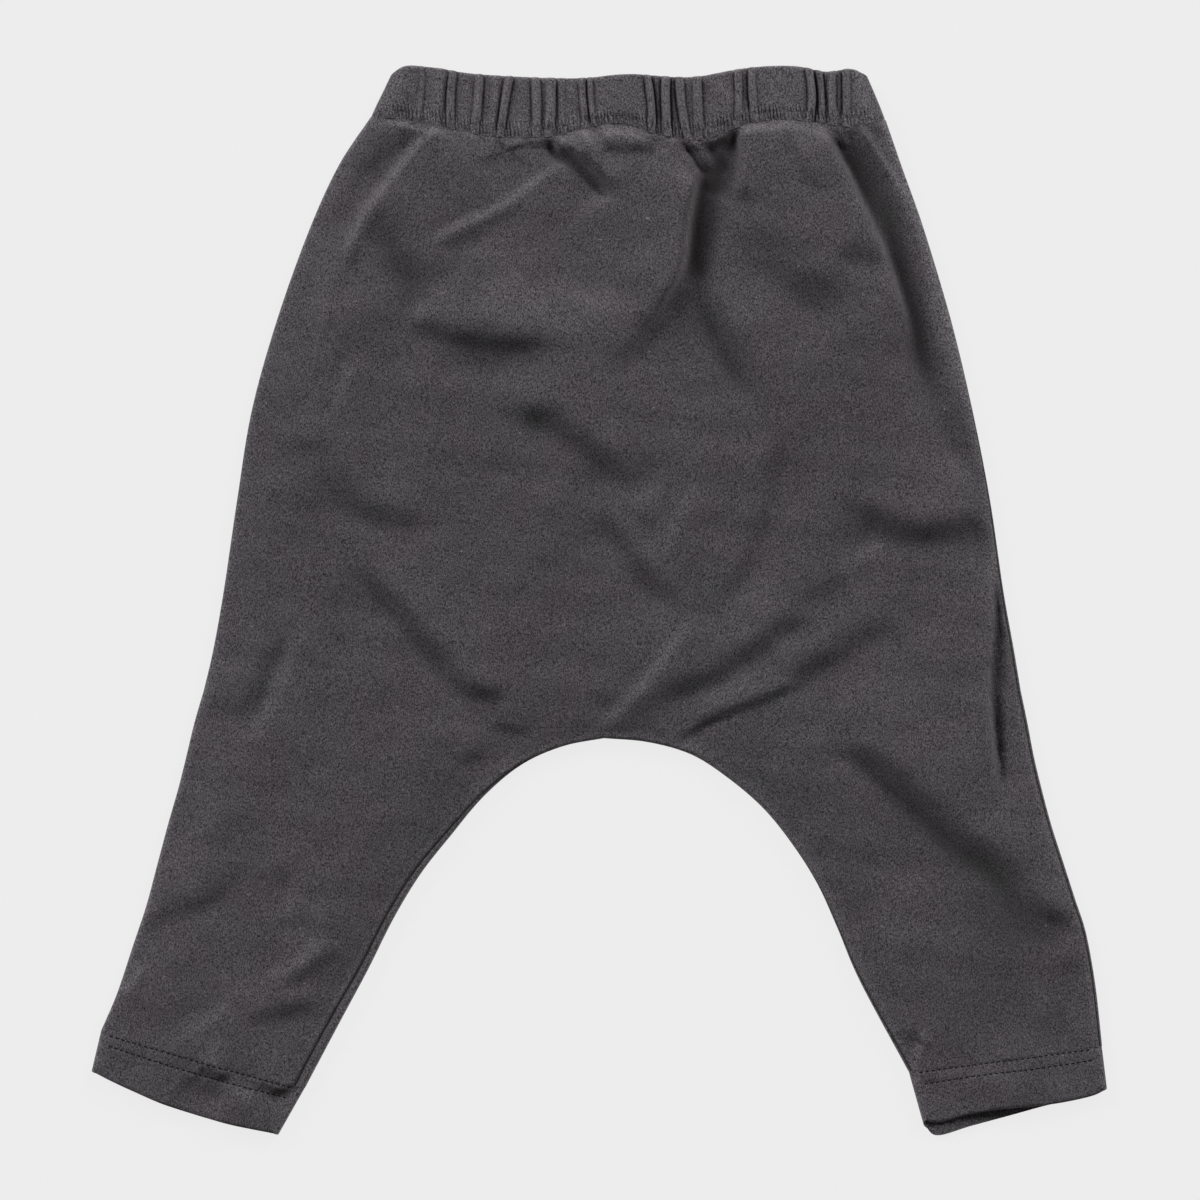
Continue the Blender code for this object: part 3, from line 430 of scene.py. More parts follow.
class Outline:
    """Rows of the garment from waist to hems, with its edges, their normals and the wraps."""

    def __init__(self, spacing, first=()):
        body_steps = even_steps(BODY, spacing, first)
        leg_steps = even_steps(LEFT_LEG, spacing)
        body = through(BODY, body_steps)
        left = through(LEFT_LEG, leg_steps)
        right = through(RIGHT_LEG, leg_steps)
        self.crotch = len(body) - 1
        self.left = np.vstack([body[:, 0:2], left[1:, 0:2]])
        self.right = np.vstack([body[:, 4:6], right[1:, 0:2]])
        self.right_wrap = np.concatenate([body[:, 6], right[1:, 4]])
        self.centre = body[:, 2:4]
        arch = np.vstack([left[::-1, 2:4], right[1:, 2:4]])
        arch_normal = inward(arch)
        self.left_arch = arch[:len(left)][::-1]
        self.left_arch_in = arch_normal[:len(left)][::-1].copy()
        self.right_arch = arch[len(left) - 1:]
        self.right_arch_in = arch_normal[len(left) - 1:].copy()
        self.left_in = inward(self.left)
        self.right_in = -inward(self.right)
        self.left_arch_wrap = left[:, 5]
        self.right_arch_wrap = right[:, 5]
        turned = max(2, round(8.0 / spacing))
        turn = smooth(np.linspace(0, 1, turned + 1)[1:])[:, None]
        for edge, edge_in, arch, arch_in in (
            (self.left, self.left_in, self.left_arch, self.left_arch_in),
            (self.right, self.right_in, self.right_arch, self.right_arch_in),
        ):
            across = unit(arch[-1] - edge[-1])
            edge_in[-turned:] = unit(edge_in[-turned:] * (1 - turn) + across * turn)
            arch_in[-turned:] = unit(arch_in[-turned:] * (1 - turn) - across * turn)
            waist = unit(self.centre[0] - edge[0])
            edge_in[:turned] = unit(edge_in[:turned] * (1 - turn[::-1]) + waist * turn[::-1])


def border_lines():
    """The garment's four long edges, waist to hem edge or crotch to hem edge."""
    outline = Outline(4.0)
    return (
        np.vstack([outline.left, LEFT_HEM_EDGE[0]]),
        np.vstack([outline.left_arch, LEFT_HEM_EDGE[-1]]),
        np.vstack([outline.right_arch, RIGHT_HEM_FRONT[0]]),
        np.vstack([outline.right, RIGHT_HEM_FRONT[-1]]),
    )


BORDERS = border_lines()


# ------------------------------------------------------------------------------------------ heights

def waves(seed, count, shortest, longest):
    """A few directions, wavelengths and phases for uneven cloth."""
    draw = np.random.RandomState(seed)
    turn = draw.uniform(0, math.pi, count)
    length = np.geomspace(shortest, longest, count)
    phase = draw.uniform(0, 2 * math.pi, count)
    return [(math.cos(a), math.sin(a), n, p) for a, n, p in zip(turn, length, phase)]


RIPPLES = waves(SEED, 14, 9.0, 52.0)
TICKS = waves(SEED + 1, 5, 3.1, 23.0)


def ripple(spots):
    """Low uneven waves all over the cloth."""
    total = np.zeros(len(spots))
    for across, up, length, phase in RIPPLES:
        turns = (spots[:, 0] * across + spots[:, 1] * up) / length
        total += 0.0036 * length * np.sin(2 * math.pi * turns + phase)
    return total


def uneven(x, length):
    """A number from about -1 to 1 that changes along x, so that what repeats is not quite even."""
    return sum(np.sin(x * 2 * math.pi / (length * (1 + 0.37 * k)) + TICKS[k][3]) for k in range(4)) / 2.4


def from_edges(spots):
    """Distance from the nearest long edge, and distance walked along it."""
    gap = np.full(len(spots), np.inf)
    walked = np.zeros(len(spots))
    for line in BORDERS:
        signed, along, length = nearest(spots, line)
        closer = np.abs(signed) < gap
        gap[closer] = np.abs(signed[closer])
        walked[closer] = along[closer] * length
    return gap, walked


def folded(spots, folds):
    """What the folds of a table add to the height, and the painted highlight on their ridges."""
    total = np.zeros(len(spots))
    ridge = np.zeros(len(spots))
    for fold in folds:
        line = through(fold.path, np.linspace(0, len(fold.path) - 1, 6 * len(fold.path)))
        reach = max(2.6 * fold.width, 3.4 * fold.reach if fold.drop else 0.0)
        near = ((spots > line.min(axis=0) - reach) & (spots < line.max(axis=0) + reach)).all(axis=1)
        if not near.any():
            continue
        signed, along, _ = nearest(spots[near], line)
        shape = fold.lift * bell(signed, fold.width)
        shape += fold.drop * np.tanh(signed / fold.width) * np.exp(-np.abs(signed) / fold.reach)
        ends = smooth(along / fold.rise) * smooth((1 - along) / fold.fall)
        total[near] += shape * ends
        # Painted highlight along the fold's crest.
        raised = np.clip(fold.lift, 0, 1) * bell(signed, fold.width) + 0.16 * np.maximum(shape, 0)
        ridge[near] = np.maximum(ridge[near], raised * ends)
    return total, ridge


def edge_height(y):
    """Both panels' height at the rolled edge: a little more where they meet the waistband."""
    return EDGE_HEIGHT + (BAND_SEAM_HEIGHT - EDGE_HEIGHT) * (1 - smooth((181.0 - y) / 25.0))


def front_top(spots, amount=1.0):
    """Height of the front's outer face above the surface at each spot, and its wear and painted light there.

    Below 0 in deep creases, which get painted shade; above 0 where the nap is worn and on painted highlights.
    """
    x, y = spots[:, 0], spots[:, 1]
    gap, walked = from_edges(spots)
    crown = np.interp(y, *np.transpose(CROWNS))
    edge = edge_height(y)
    relief, ridge = folded(spots, FRONT_FOLDS)
    below = curve_y(BAND_SEAM, x) - y
    gathers = 0.5 * uneven(x - 0.25 * below, 6.3) * np.exp(-np.maximum(below, 0) / 9.0)
    gathers += 0.35 * uneven(x + 0.2 * below, 3.9) * np.exp(-np.maximum(below, 0) / 4.5)
    pucker = 0.16 * uneven(walked, 5.6) * bell(gap - 2.0, 2.6)
    full = edge + crown * smooth((gap - edge / 2) / CROWN_REACH) ** 0.6
    full += amount * ripple(spots) * smooth((gap - 1.0) / FOLD_REACH) + pucker * smooth(gap / 1.7)
    reach = SEAM_PUFF + 3.0 * uneven(x, SEAM_PUFF)
    seam_top = BAND_SEAM_HEIGHT + 0.2 * uneven(x, 6.3)
    seam_top = np.where(gap < 3, BAND_SEAM_HEIGHT, seam_top)
    climb = 1 - (1 - np.clip(below / reach, 0, 1)) ** 1.5
    top = seam_top + (full - seam_top) * climb
    near_seam = relief * smooth(below / 5.0) + gathers * smooth(below / 2.5)
    top += amount * near_seam * smooth((gap - 1.0) / FOLD_REACH)
    top = LOWEST_TOP + np.logaddexp(0.0, (top - LOWEST_TOP) * 3) / 3
    hip = smooth((x - 90) / 20) * smooth((y - 65) / 30)
    # Painted highlight on fold ridges, on the right hip's rim and on the puffs just below the waist seam. The
    # rolled edges are paler: partly worn nap, partly painted rim sheen.
    wear_and_painted_light = 0.5 * ridge + 0.6 * bell(gap, 2.4) + 1.0 * hip * bell(gap, 5.0) + 0.15 * bell(below - 1.0, 1.5)
    # A paler patch at the crotch.
    wear_and_painted_light += 0.18 * bell(x, 40.0) * bell(y + 40.0, 16.0)
    # Painted shade in deep troughs, darker the deeper the trough.
    wear_and_painted_light -= smooth(-relief / PAINTED_SHADE_DEPTH) * smooth((gap - 1.0) / 3.0)
    return top, wear_and_painted_light


def back_rise(spots, amount=1.0):
    """How far the underside arches up from the surface, kept clear of the front above it."""
    x, y = spots[:, 0], spots[:, 1]
    gap, _ = from_edges(spots)
    relief, _ = folded(spots, BACK_FOLDS)
    below = curve_y(BACK_SEAM, x) - y
    gathers = 0.5 * (1 + uneven(x + 0.2 * below, 7.1)) * np.exp(-np.maximum(below, 0) / 12.0)
    rise = (relief + gathers + 0.6 * np.maximum(ripple(spots), 0)) * smooth((gap - 2.5) / 8.0)
    rise *= smooth(below / 3.0)
    return np.minimum(amount * rise, HIGHEST_ARCH)


def seam_relief(away):
    """The groove of a seam and the soft ridge that its allowance makes beside it."""
    return 0.1 * bell(away - 1.5, 0.9) - 0.4 * bell(away, 0.35)


# ------------------------------------------------------------------------------------------- panels

Column = namedtuple("Column", "outer inner outer_z inner_z free away")
FRONT_SHARES = (0.0, 0.07, 0.15, 0.26, 0.4, 0.58, 0.78, 1.0)
BACK_SHARES = (0.0, 0.03, 0.07, 0.13, 0.22, 0.34, 0.48, 0.65, 0.82, 1.0)


def strip(edge, normal, wrap, front, wall):
    """Columns of cloth beside an edge, seam first. free tells which points are past the roll, on the flat."""
    radius = edge_height(edge[:, 1]) / 2
    quarter = radius * math.pi / 2
    if front:
        start = wrap + SEAM_GAP / 2
        end = np.maximum(start + SEAM_STRIP, quarter)
    else:
        start = wrap - SEAM_GAP / 2
        end = -quarter - 0.6
    columns = []
    for share in FRONT_SHARES if front else BACK_SHARES:
        along = start + (end - start) * share
        away = np.abs(along - start)
        angle = np.clip(along / radius, -math.pi / 2, math.pi / 2)
        flat = np.maximum(np.abs(along) - quarter, 0.0)
        wide = radius + seam_relief(away)
        thin = radius - wall
        columns.append(Column(
            edge + normal * (radius - wide * np.cos(angle) + flat)[:, None],
            edge + normal * (radius - thin * np.cos(angle) + flat)[:, None],
            radius + wide * np.sin(angle),
            radius + thin * np.sin(angle),
            np.where(along >= quarter - 1e-6, 1, 0) - np.where(along <= -quarter + 1e-6, 1, 0),
            away,
        ))
    return columns


def open_column(spots, front):
    """A column in the open cloth, away from every edge."""
    flat = np.zeros(len(spots))
    side = np.full(len(spots), 1 if front else -1)
    return Column(spots.copy(), spots.copy(), flat, flat, side, np.full(len(spots), 99.0))


def between(first, last, cells):
    """Plan positions of the columns strictly between two columns."""
    return [first + (last - first) * (k / cells) for k in range(1, cells)]


def waved(spots, seam, outline):
    """Bend the first rows to the waist seam, fading out below it."""
    left, centre, right = outline.left[0], outline.centre[0], outline.right[0]
    straight = np.interp(spots[:, 0], [left[0], centre[0], right[0]], [left[1], centre[1], right[1]])
    fade = 1 - smooth((straight - spots[:, 1]) / WAVE_REACH)
    shift = curve_y(seam, spots[:, 0]) - straight
    return np.column_stack([spots[:, 0], spots[:, 1] + shift * fade])


def lay(columns, wall, amount):
    """Stack columns into grids of outer and inner points and of wear with painted light and shade."""
    outer = np.stack([np.column_stack([c.outer, c.outer_z]) for c in columns], axis=1)
    inner = np.stack([np.column_stack([c.inner, c.inner_z]) for c in columns], axis=1)
    free = np.stack([c.free for c in columns], axis=1)
    away = np.stack([c.away for c in columns], axis=1)
    spots = outer[:, :, :2].reshape(-1, 2)
    top, wear_and_painted_light = front_top(spots, amount)
    top = top.reshape(free.shape) + seam_relief(away)
    # Painted highlight on the allowance ridge beside the seam, and painted shade in the seam's groove.
    wear_and_painted_light = wear_and_painted_light.reshape(free.shape) + 0.2 * bell(away - 1.6, 0.8) - 1.4 * bell(away, 0.42)
    above, under = free > 0, free < 0
    outer[:, :, 2] = np.where(above, top, outer[:, :, 2])
    inner[:, :, 2] = np.where(above, top - wall, inner[:, :, 2])
    if under.any():
        room = top - 2 * wall - 0.3
        rise = np.minimum(back_rise(spots, amount).reshape(free.shape), np.maximum(room, 0.0))
        outer[:, :, 2] = np.where(under, rise, outer[:, :, 2])
        inner[:, :, 2] = np.where(under, rise + wall, inner[:, :, 2])
    flat = above | under
    inner[:, :, :2] = np.where(flat[:, :, None], outer[:, :, :2], inner[:, :, :2])
    return outer, inner, wear_and_painted_light


def panel_patches(front, outline, cells, wall, amount):
    """The panel's three patches: the body, the left leg and the right leg."""
    crotch = outline.crotch
    no_wrap = np.zeros(len(outline.left))
    left = strip(outline.left, outline.left_in, no_wrap, front, wall)
    right = strip(outline.right, outline.right_in, outline.right_wrap, front, wall)
    left_arch = strip(outline.left_arch, outline.left_arch_in, outline.left_arch_wrap, front, wall)
    right_arch = strip(outline.right_arch, outline.right_arch_in, outline.right_arch_wrap, front, wall)
    centre = outline.centre.copy()
    crotch_y = left_arch[-1].outer[0, 1]
    waist_y = centre[0, 1]
    centre[:, 1] = waist_y + (centre[:, 1] - waist_y) * (crotch_y - waist_y) / (centre[-1, 1] - waist_y)

    def cut(columns, rows):
        return [Column(*(part[rows] for part in column)) for column in columns]

    top, low = slice(0, crotch + 1), slice(crotch, None)
    halves = between(left[-1].outer[top], centre, cells), between(centre, right[-1].outer[top], cells)
    middle = [open_column(spots, front) for spots in halves[0] + [centre] + halves[1]]
    body = cut(left, top) + middle + cut(right, top)[::-1]
    patches = [[Column(*(part.copy() for part in column)) for column in body]]
    for side, arch in ((left, left_arch), (right, right_arch)):
        across = [open_column(spots, front) for spots in between(side[-1].outer[low], arch[-1].outer, cells)]
        patches.append(cut(side, low) + across + arch[::-1])
    seam = BAND_SEAM if front else BACK_SEAM
    for column in patches[0]:
        for spots in (column.outer, column.inner):
            spots[:crotch] = waved(spots[:crotch], seam, outline)
    return [lay(columns, wall, amount) for columns in patches]


# ------------------------------------------------------------------------------------------- meshes

def add_grid(bm, outer, inner, wear_and_painted_light):
    """Add a grid of cloth at its outer points, each remembering its inner point, wear and painted light."""
    inner_layer = bm.verts.layers.float_vector.get("inner") or bm.verts.layers.float_vector.new("inner")
    wear_and_light_layer = bm.verts.layers.float.get("wear_and_painted_light") or bm.verts.layers.float.new("wear_and_painted_light")
    rows, columns = wear_and_painted_light.shape
    grid = bmesh.ops.create_grid(bm, x_segments=columns - 1, y_segments=rows - 1, size=1.0)
    outer_points = (outer * MM).tolist()
    inner_points = (inner * MM).tolist()
    worn_and_lit = np.clip(wear_and_painted_light, -1, 1.5).tolist()
    for vertex in grid["verts"]:
        column = round((vertex.co.x + 1) / 2 * (columns - 1))
        row = round((vertex.co.y + 1) / 2 * (rows - 1))
        vertex.co = outer_points[row][column]
        vertex[inner_layer] = inner_points[row][column]
        vertex[wear_and_light_layer] = worn_and_lit[row][column]


def finish_wall(bm, name):
    """Join the grids, give the cloth its inner face and make the object."""
    bmesh.ops.remove_doubles(bm, verts=bm.verts, dist=0.02 * MM)
    layer = bm.verts.layers.float_vector["inner"]
    for edge in bm.edges:
        edge.smooth = not edge.is_boundary
    copied = bmesh.ops.extrude_face_region(bm, geom=bm.faces[:], use_keep_orig=True)
    for vertex in copied["geom"]:
        if isinstance(vertex, bmesh.types.BMVert):
            vertex.co = vertex[layer]
    bmesh.ops.recalc_face_normals(bm, faces=bm.faces)
    bm.verts.layers.float_vector.remove(layer)
    return finish_mesh(bm, name)


def finish_mesh(bm, name):
    mesh = bpy.data.meshes.new(name)
    bm.to_mesh(mesh)
    bm.free()
    mesh.shade_smooth()
    piece = bpy.data.objects.new(name, mesh)
    bpy.context.scene.collection.objects.link(piece)
    return piece


def make_panel(name, front, spacing, first, cells):
    """A front or back panel of cloth, shaped from the outline."""
    cloth = bpy.context.scene.leggings_cloth
    wall = cloth.thickness / MM
    bm = bmesh.new()
    for outer, inner, wear_and_painted_light in panel_patches(front, Outline(spacing, first), cells, wall, cloth.fold_height):
        add_grid(bm, outer, inner, wear_and_painted_light)
    return finish_wall(bm, name)


def tube_spots(seam, free, shares, part, inset):
    """Spots across a flattened tube, a part of the way from its seam line to its free edge."""
    shares = inset + np.asarray(shares) * (1 - 2 * inset)
    start = spread(seam, shares)
    end = spread(free, shares)
    length = np.linalg.norm(end - start, axis=1, keepdims=True)
    return start + (end - start) * (SEAM_GAP / length + (1 - SEAM_GAP / length) * part)


def tube_grid(tube, front_cells, back_cells):
    """Grids of a flattened tube of cloth from its seam to its folded free edge."""
    seams, free_edges = tube.seams, tube.free_edges
    turns = np.radians([72.0, 54.0, 36.0, 18.0, 0.0, -18.0, -36.0, -54.0, -72.0])
    front_shares = np.linspace(0, 1, front_cells + 1)
    back_shares = np.linspace(1, 0, back_cells + 1)
    width = np.linalg.norm(np.subtract(free_edges[0][-1], free_edges[0][0]))
    outer_rows, inner_rows, wear_and_light_rows = [], [], []
    for ring in tube.rings:
        part = ring.away / tube.depth
        inset = ring.radius / width
        front = tube_spots(seams[0], free_edges[0], front_shares, part, inset)
        back = tube_spots(seams[1], free_edges[1], back_shares, part, inset)
        high, front_wear_and_light = tube.face(True, front, ring)
        low, back_wear = tube.face(False, back, ring)
        outer = [np.column_stack([front, high])]
        inner = [np.column_stack([front, high - ring.wall])]
        ends = []
        for upper_end, lower_end, beside, order in (
            (front[-1], back[0], front[-2], turns),
            (front[0], back[-1], front[1], turns[::-1]),
        ):
            lift = (1 + np.sin(order)) / 2
            middle = upper_end * lift[:, None] + lower_end * (1 - lift[:, None])
            outwards = unit(upper_end - beside)
            for rows, size in ((ends, ring.radius), (ends, max(ring.radius - ring.wall, 0.15))):
                rows.append(np.column_stack([
                    middle + outwards * (size * np.cos(order))[:, None],
                    ring.radius + size * np.sin(order),
                ]))
        outer += [ends[0], np.column_stack([back, low]), ends[2], outer[0][:1]]
        inner += [ends[1], np.column_stack([back, low + ring.wall]), ends[3], inner[0][:1]]
        edge_wear = np.full(len(turns), 0.6)
        outer_rows.append(np.vstack(outer))
        inner_rows.append(np.vstack(inner))
        wear_and_light_rows.append(np.concatenate([front_wear_and_light, edge_wear, back_wear, edge_wear, front_wear_and_light[:1]]))
    return np.array(outer_rows), np.array(inner_rows), np.array(wear_and_light_rows)


def tube_rings(depth, close, apart, reach, radii, walls, rim_walls):
    """Rings from the seam to the free edge: close along the needle rows, thinner where it turns in."""
    rings = []
    for away in np.concatenate([np.arange(0.0, close[0], 0.3), np.arange(close[1], depth - 1.2, apart)]):
        rise = smooth(away / reach)
        radius, wall = (low + (high - low) * rise for low, high in (radii, walls))
        rings.append(Ring(away, radius, wall))
    for away, wall in zip((1.0, 0.6, 0.3, 0.1, 0.0), rim_walls):
        rings.append(Ring(depth - away, radii[1], wall))
    return rings


BAND_RINGS = tube_rings(BAND_DEPTH, (5.0, 5.2), 0.8, 4.0, (BAND_SEAM_HEIGHT / 2, BAND_HEIGHT / 2), (1.3, 2.0),
                        (1.952, 1.776, 1.456, 1.04, 0.64))
HEM_RINGS = tube_rings(HEM_DEPTH, (5.4, 5.8), 0.9, 5.0, (EDGE_HEIGHT / 2, EDGE_HEIGHT / 2 + 0.03), (1.1, 1.5),
                       (1.461, 1.318, 1.058, 0.785, 0.525))


def rim_drop(away, depth):
    """How far the outer face falls at the folded free edge."""
    left = np.clip(depth - away, 0.0, 1.0)
    return 0.9 * (1 - np.sqrt(np.maximum(1 - (1 - left) ** 2, 0.0)))


def pleat_relief(x, part):
    """Height that the gathered pleats give the band's front, painted highlight on ridges, painted shade in
    creases.
    """
    total = np.zeros(len(x))
    ridge = np.zeros(len(x))
    dark = np.zeros(len(x))
    for pleat in PLEATS:
        low, high = pleat.seam_x, pleat.top_x
        bow = pleat.middle_x - (low + high) / 2
        middle = low + (high - low) * part + 4 * bow * part * (1 - part)
        off = (x - middle) / pleat.half_width
        power = 6 if pleat.half_width > WIDE_PLEAT else 3
        shape = np.exp(-np.abs(off) ** power)
        total += 1.3 * pleat.height * shape
        for dip, off_dip in ((pleat.left_dip, -off), (pleat.right_dip, off)):
            total -= 1.2 * dip * bell(off_dip - 1.4, 0.42)
            # Painted shade in the creases beside the pleat.
            dark = np.maximum(dark, dip * bell(off_dip - 1.8, 0.9))
        if power == 3:
            # Painted highlight on the crest of a narrow pleat.
            ridge = np.maximum(ridge, shape * pleat.height)
    return total, 0.6 * ridge - 1.3 * dark


def ticks(x, away, rows, pitch):
    """The small upright puckers that the needle rows pull into the cloth, a set of them above each row."""
    total = np.zeros(len(x))
    for number, row in enumerate(rows):
        turns = x / pitch + 0.4 * number + 0.3 * uneven(x + 7 * number, 5.2) + 0.1 * (away - row)
        strength = 0.75 + 0.35 * uneven(x + 3.0 * number, 9.0)
        total += np.sin(2 * math.pi * turns) * bell(away - row - 1.1, 1.25) * strength
    return total


def band_face(front, spots, ring):
    """Height of the band's outer face, and its wear with painted light and shade."""
    x = spots[:, 0]
    part = ring.away / BAND_DEPTH
    top = 2 * ring.radius
    ends = smooth((x - spots[:, 0].min()) / 5.0) * smooth((spots[:, 0].max() - x) / 5.0)
    track = 1 - smooth((ring.away - 3.6) / 2.6)
    grooves = sum(bell(ring.away - row, 0.4) for row in BAND_ROWS)
    drop = rim_drop(ring.away, BAND_DEPTH)
    if not front:
        side = 0.5 * (1 + uneven(x, 4.4)) ** 2 * (0.35 + 0.65 * smooth(ring.away / 6.0))
        rise = side * ends * 0.7 + 0.1 * (1 + ticks(x, ring.away, BAND_ROWS, 1.35)) * track + 0.12 * grooves
        return rise + drop + 0.25 * bell(ring.away, 0.3), np.full(len(x), 0.2)
    relief, wear_and_painted_light = pleat_relief(x, part)
    pull = ticks(x, ring.away, BAND_ROWS, BAND_PITCH)
    relief *= 0.35 + 0.65 * smooth((ring.away - 2.0) / 4.0)
    relief = (relief + 0.24 * pull + 0.1 * uneven(x + ring.away, 8.0)) * ends - 0.06 * grooves
    relief -= 0.15 * bell(ring.away, 0.35)
    # Paler all over, at the folded top edge, the ends and along the stitched track; the puckers get painted
    # highlight on their crests and painted shade in their hollows.
    wear_and_painted_light += 0.6 + 0.3 * drop + 0.4 * (1 - ends) + 0.4 * track + 1.4 * pull
    wear_and_painted_light += 0.3 * bell(BAND_DEPTH - ring.away, 2.0)
    return top + relief - drop, wear_and_painted_light


def hem_face(front, spots, ring):
    """Height of a hem's outer face, and its wear with painted light and shade."""
    x = spots[:, 0]
    grooves = sum(bell(ring.away - row, 0.45) for row in HEM_ROWS)
    drop = rim_drop(ring.away, HEM_DEPTH)
    near_rows = 1 - smooth((ring.away - 4.4) / 3.0)
    pull = ticks(x, ring.away, HEM_ROWS, HEM_PITCH)
    ends = smooth((x - x.min()) / 4.0) * smooth((x.max() - x) / 4.0)
    if not front:
        rise = 0.07 * (1 + pull) * near_rows + 0.12 * grooves + 0.2 * bell(ring.away, 0.3) + drop
        return rise, np.full(len(x), 0.2)
    top, wear_and_painted_light = front_top(spots)
    top = top + 2 * ring.radius - EDGE_HEIGHT
    top += ends * (0.07 * pull * near_rows + 0.12 * uneven(x, 14.0) * smooth(ring.away / 4.0)) - 0.1 * grooves
    # Wear and painted light from the front panel, paler towards the folded edge.
    return top - drop, wear_and_painted_light + 0.5 * drop


def waist_tube():
    return Tube((BAND_SEAM, BACK_SEAM), (BAND_TOP, BAND_TOP), BAND_RINGS, BAND_DEPTH, band_face, BAND_ROWS)


def hem_tube(side):
    outline = Outline(4.0)
    if side == "left":
        seam, free_edges = (outline.left[-1], outline.left_arch[-1]), (LEFT_HEM_EDGE, LEFT_HEM_EDGE)
    else:
        seam, free_edges = (outline.right_arch[-1], outline.right[-1]), (RIGHT_HEM_FRONT, RIGHT_HEM_BACK)
    return Tube((seam, seam), free_edges, HEM_RINGS, HEM_DEPTH, hem_face, HEM_ROWS)


# ---------------------------------------------------------------------------------------- materials

class Shade:
    """An output socket of a material's nodes. Sums and products of such sockets add Math nodes."""

    def __init__(self, tree, socket=None):
        self.tree = tree
        self.socket = socket

    def make(self, kind, values, output=0, **settings):
        """Add a node of any kind: its settings first, then the values or links of its sockets."""
        node = self.tree.nodes.new(kind)
        for name, value in settings.items():
            setattr(node, name, value)
        for name, value in values.items():
            if isinstance(value, Shade):
                self.tree.links.new(value.socket, node.inputs[name])
            else:
                node.inputs[name].default_value = value
        return Shade(self.tree, node.outputs[output])

    def math(self, operation, first, second):
        return self.make("ShaderNodeMath", {0: first, 1: second}, operation=operation)

    def __add__(self, other):
        return self.math("ADD", self, other)

    def __sub__(self, other):
        return self.math("SUBTRACT", self, other)

    def __rsub__(self, other):
        return self.math("SUBTRACT", other, self)

    def __mul__(self, other):
        return self.math("MULTIPLY", self, other)

    __radd__ = __add__
    __rmul__ = __mul__

    def above(self, low, high):
        """0 up to low, 1 from high."""
        values = {"Value": self, "From Min": low, "From Max": high}
        return self.make("ShaderNodeMapRange", values, clamp=True)

    def drive(self, shader, name):
        """Link this value to one of a shader's sockets."""
        self.tree.links.new(self.socket, shader.inputs[name])

    def noise(self, place, scale, detail=2.0, roughness=0.5):
        values = {"Vector": place, "Scale": scale, "Detail": detail, "Roughness": roughness}
        return self.make("ShaderNodeTexNoise", values)

    def mix(self, factor, first, second, blend_type="MIX"):
        """Mix two colours."""
        values = {0: factor, 6: first, 7: second}
        return self.make("ShaderNodeMix", values, output=2, data_type="RGBA", blend_type=blend_type)


def rgba(colour, factor=1.0):
    return (colour[0] * factor, colour[1] * factor, colour[2] * factor, 1.0)


def new_surface(name, plain):
    """A material, its Principled shader with its plain values set, and a start for its nodes."""
    material = bpy.data.materials.new(name)
    material.use_nodes = True
    shader = material.node_tree.nodes["Principled BSDF"]
    for socket, value in plain.items():
        shader.inputs[socket].default_value = value
    return material, shader, Shade(material.node_tree)


def jersey_material():
    """Brushed, washed cotton jersey: fine grain, faint patches of tint, paler worn nap, painted highlight and
    shade.
    """
    known = bpy.data.materials.get("charcoal_jersey_nap")
    if known:
        return known
    cloth = bpy.context.scene.leggings_cloth
    material, shader, start = new_surface("charcoal_jersey_nap", {
        "Specular IOR Level": 0.25, "Sheen Weight": 0.28, "Sheen Roughness": 0.55,
        "Sheen Tint": (0.75, 0.68, 0.7, 1.0),
    })
    place = start.make("ShaderNodeTexCoord", {}, output="Object")
    streaked = start.make("ShaderNodeMapping", {"Vector": place, "Scale": (1.0, 0.62, 1.0)})
    # The attribute holds the nap's wear, painted highlights and painted shade.
    worn_and_lit = start.make("ShaderNodeAttribute", {}, output="Fac", attribute_name="wear_and_painted_light")

    grain = start.noise(streaked, 2300.0, 2.0, 0.7)
    fuzz = start.noise(place, 1100.0, 3.0, 0.7)
    patches = start.noise(place, 55.0, 4.0, 0.55)
    tint = start.noise(place, 38.0, 2.0, 0.5)
    rare = start.noise(place, 620.0, 0.0, 0.5)

    warm = rgba((cloth.colour[0] * 1.025, cloth.colour[1] * 0.985, cloth.colour[2] * 1.01))
    cool = rgba((cloth.colour[0] * 0.975, cloth.colour[1] * 1.01, cloth.colour[2] * 0.995))
    base = start.mix(tint.above(0.35, 0.65), warm, cool)
    light = 1.0 + cloth.grain * (6.1 * (grain - 0.5) + 1.5 * (fuzz - 0.5)) + 0.3 * (patches - 0.5)
    shade = start.make("ShaderNodeCombineColor", {0: light, 1: light, 2: light})
    grained = start.mix(1.0, base, shade, blend_type="MULTIPLY")
    # Painted shade: darker colour where the attribute is below 0, in deep creases, between pleats and in seam
    # grooves.
    painted_shade = start.mix((0.0 - worn_and_lit).above(0.0, 1.0) * 0.95, grained, rgba(cloth.colour, 0.12))
    # Paler colour for worn nap and for painted highlights on ridges and rims.
    rubbed = start.mix(1.0, shade, rgba(cloth.worn_and_highlight_colour), blend_type="MULTIPLY")
    worn_and_painted_colour = start.mix(worn_and_lit.above(0.0, 1.5), painted_shade, rubbed)
    colour = start.mix(rare.above(0.86, 0.9) * 0.5, worn_and_painted_colour, rgba(cloth.worn_and_highlight_colour, 2.2))
    height = 0.11 * grain + 0.09 * fuzz + 0.25 * patches
    bump = {"Strength": 1.0, "Distance": MM, "Height": height}
    start.make("ShaderNodeBump", bump).drive(shader, "Normal")
    colour.drive(shader, "Base Color")
    (0.97 - 0.1 * worn_and_lit.above(0.0, 1.0)).drive(shader, "Roughness")
    material.diffuse_color = rgba(cloth.colour)
    return material


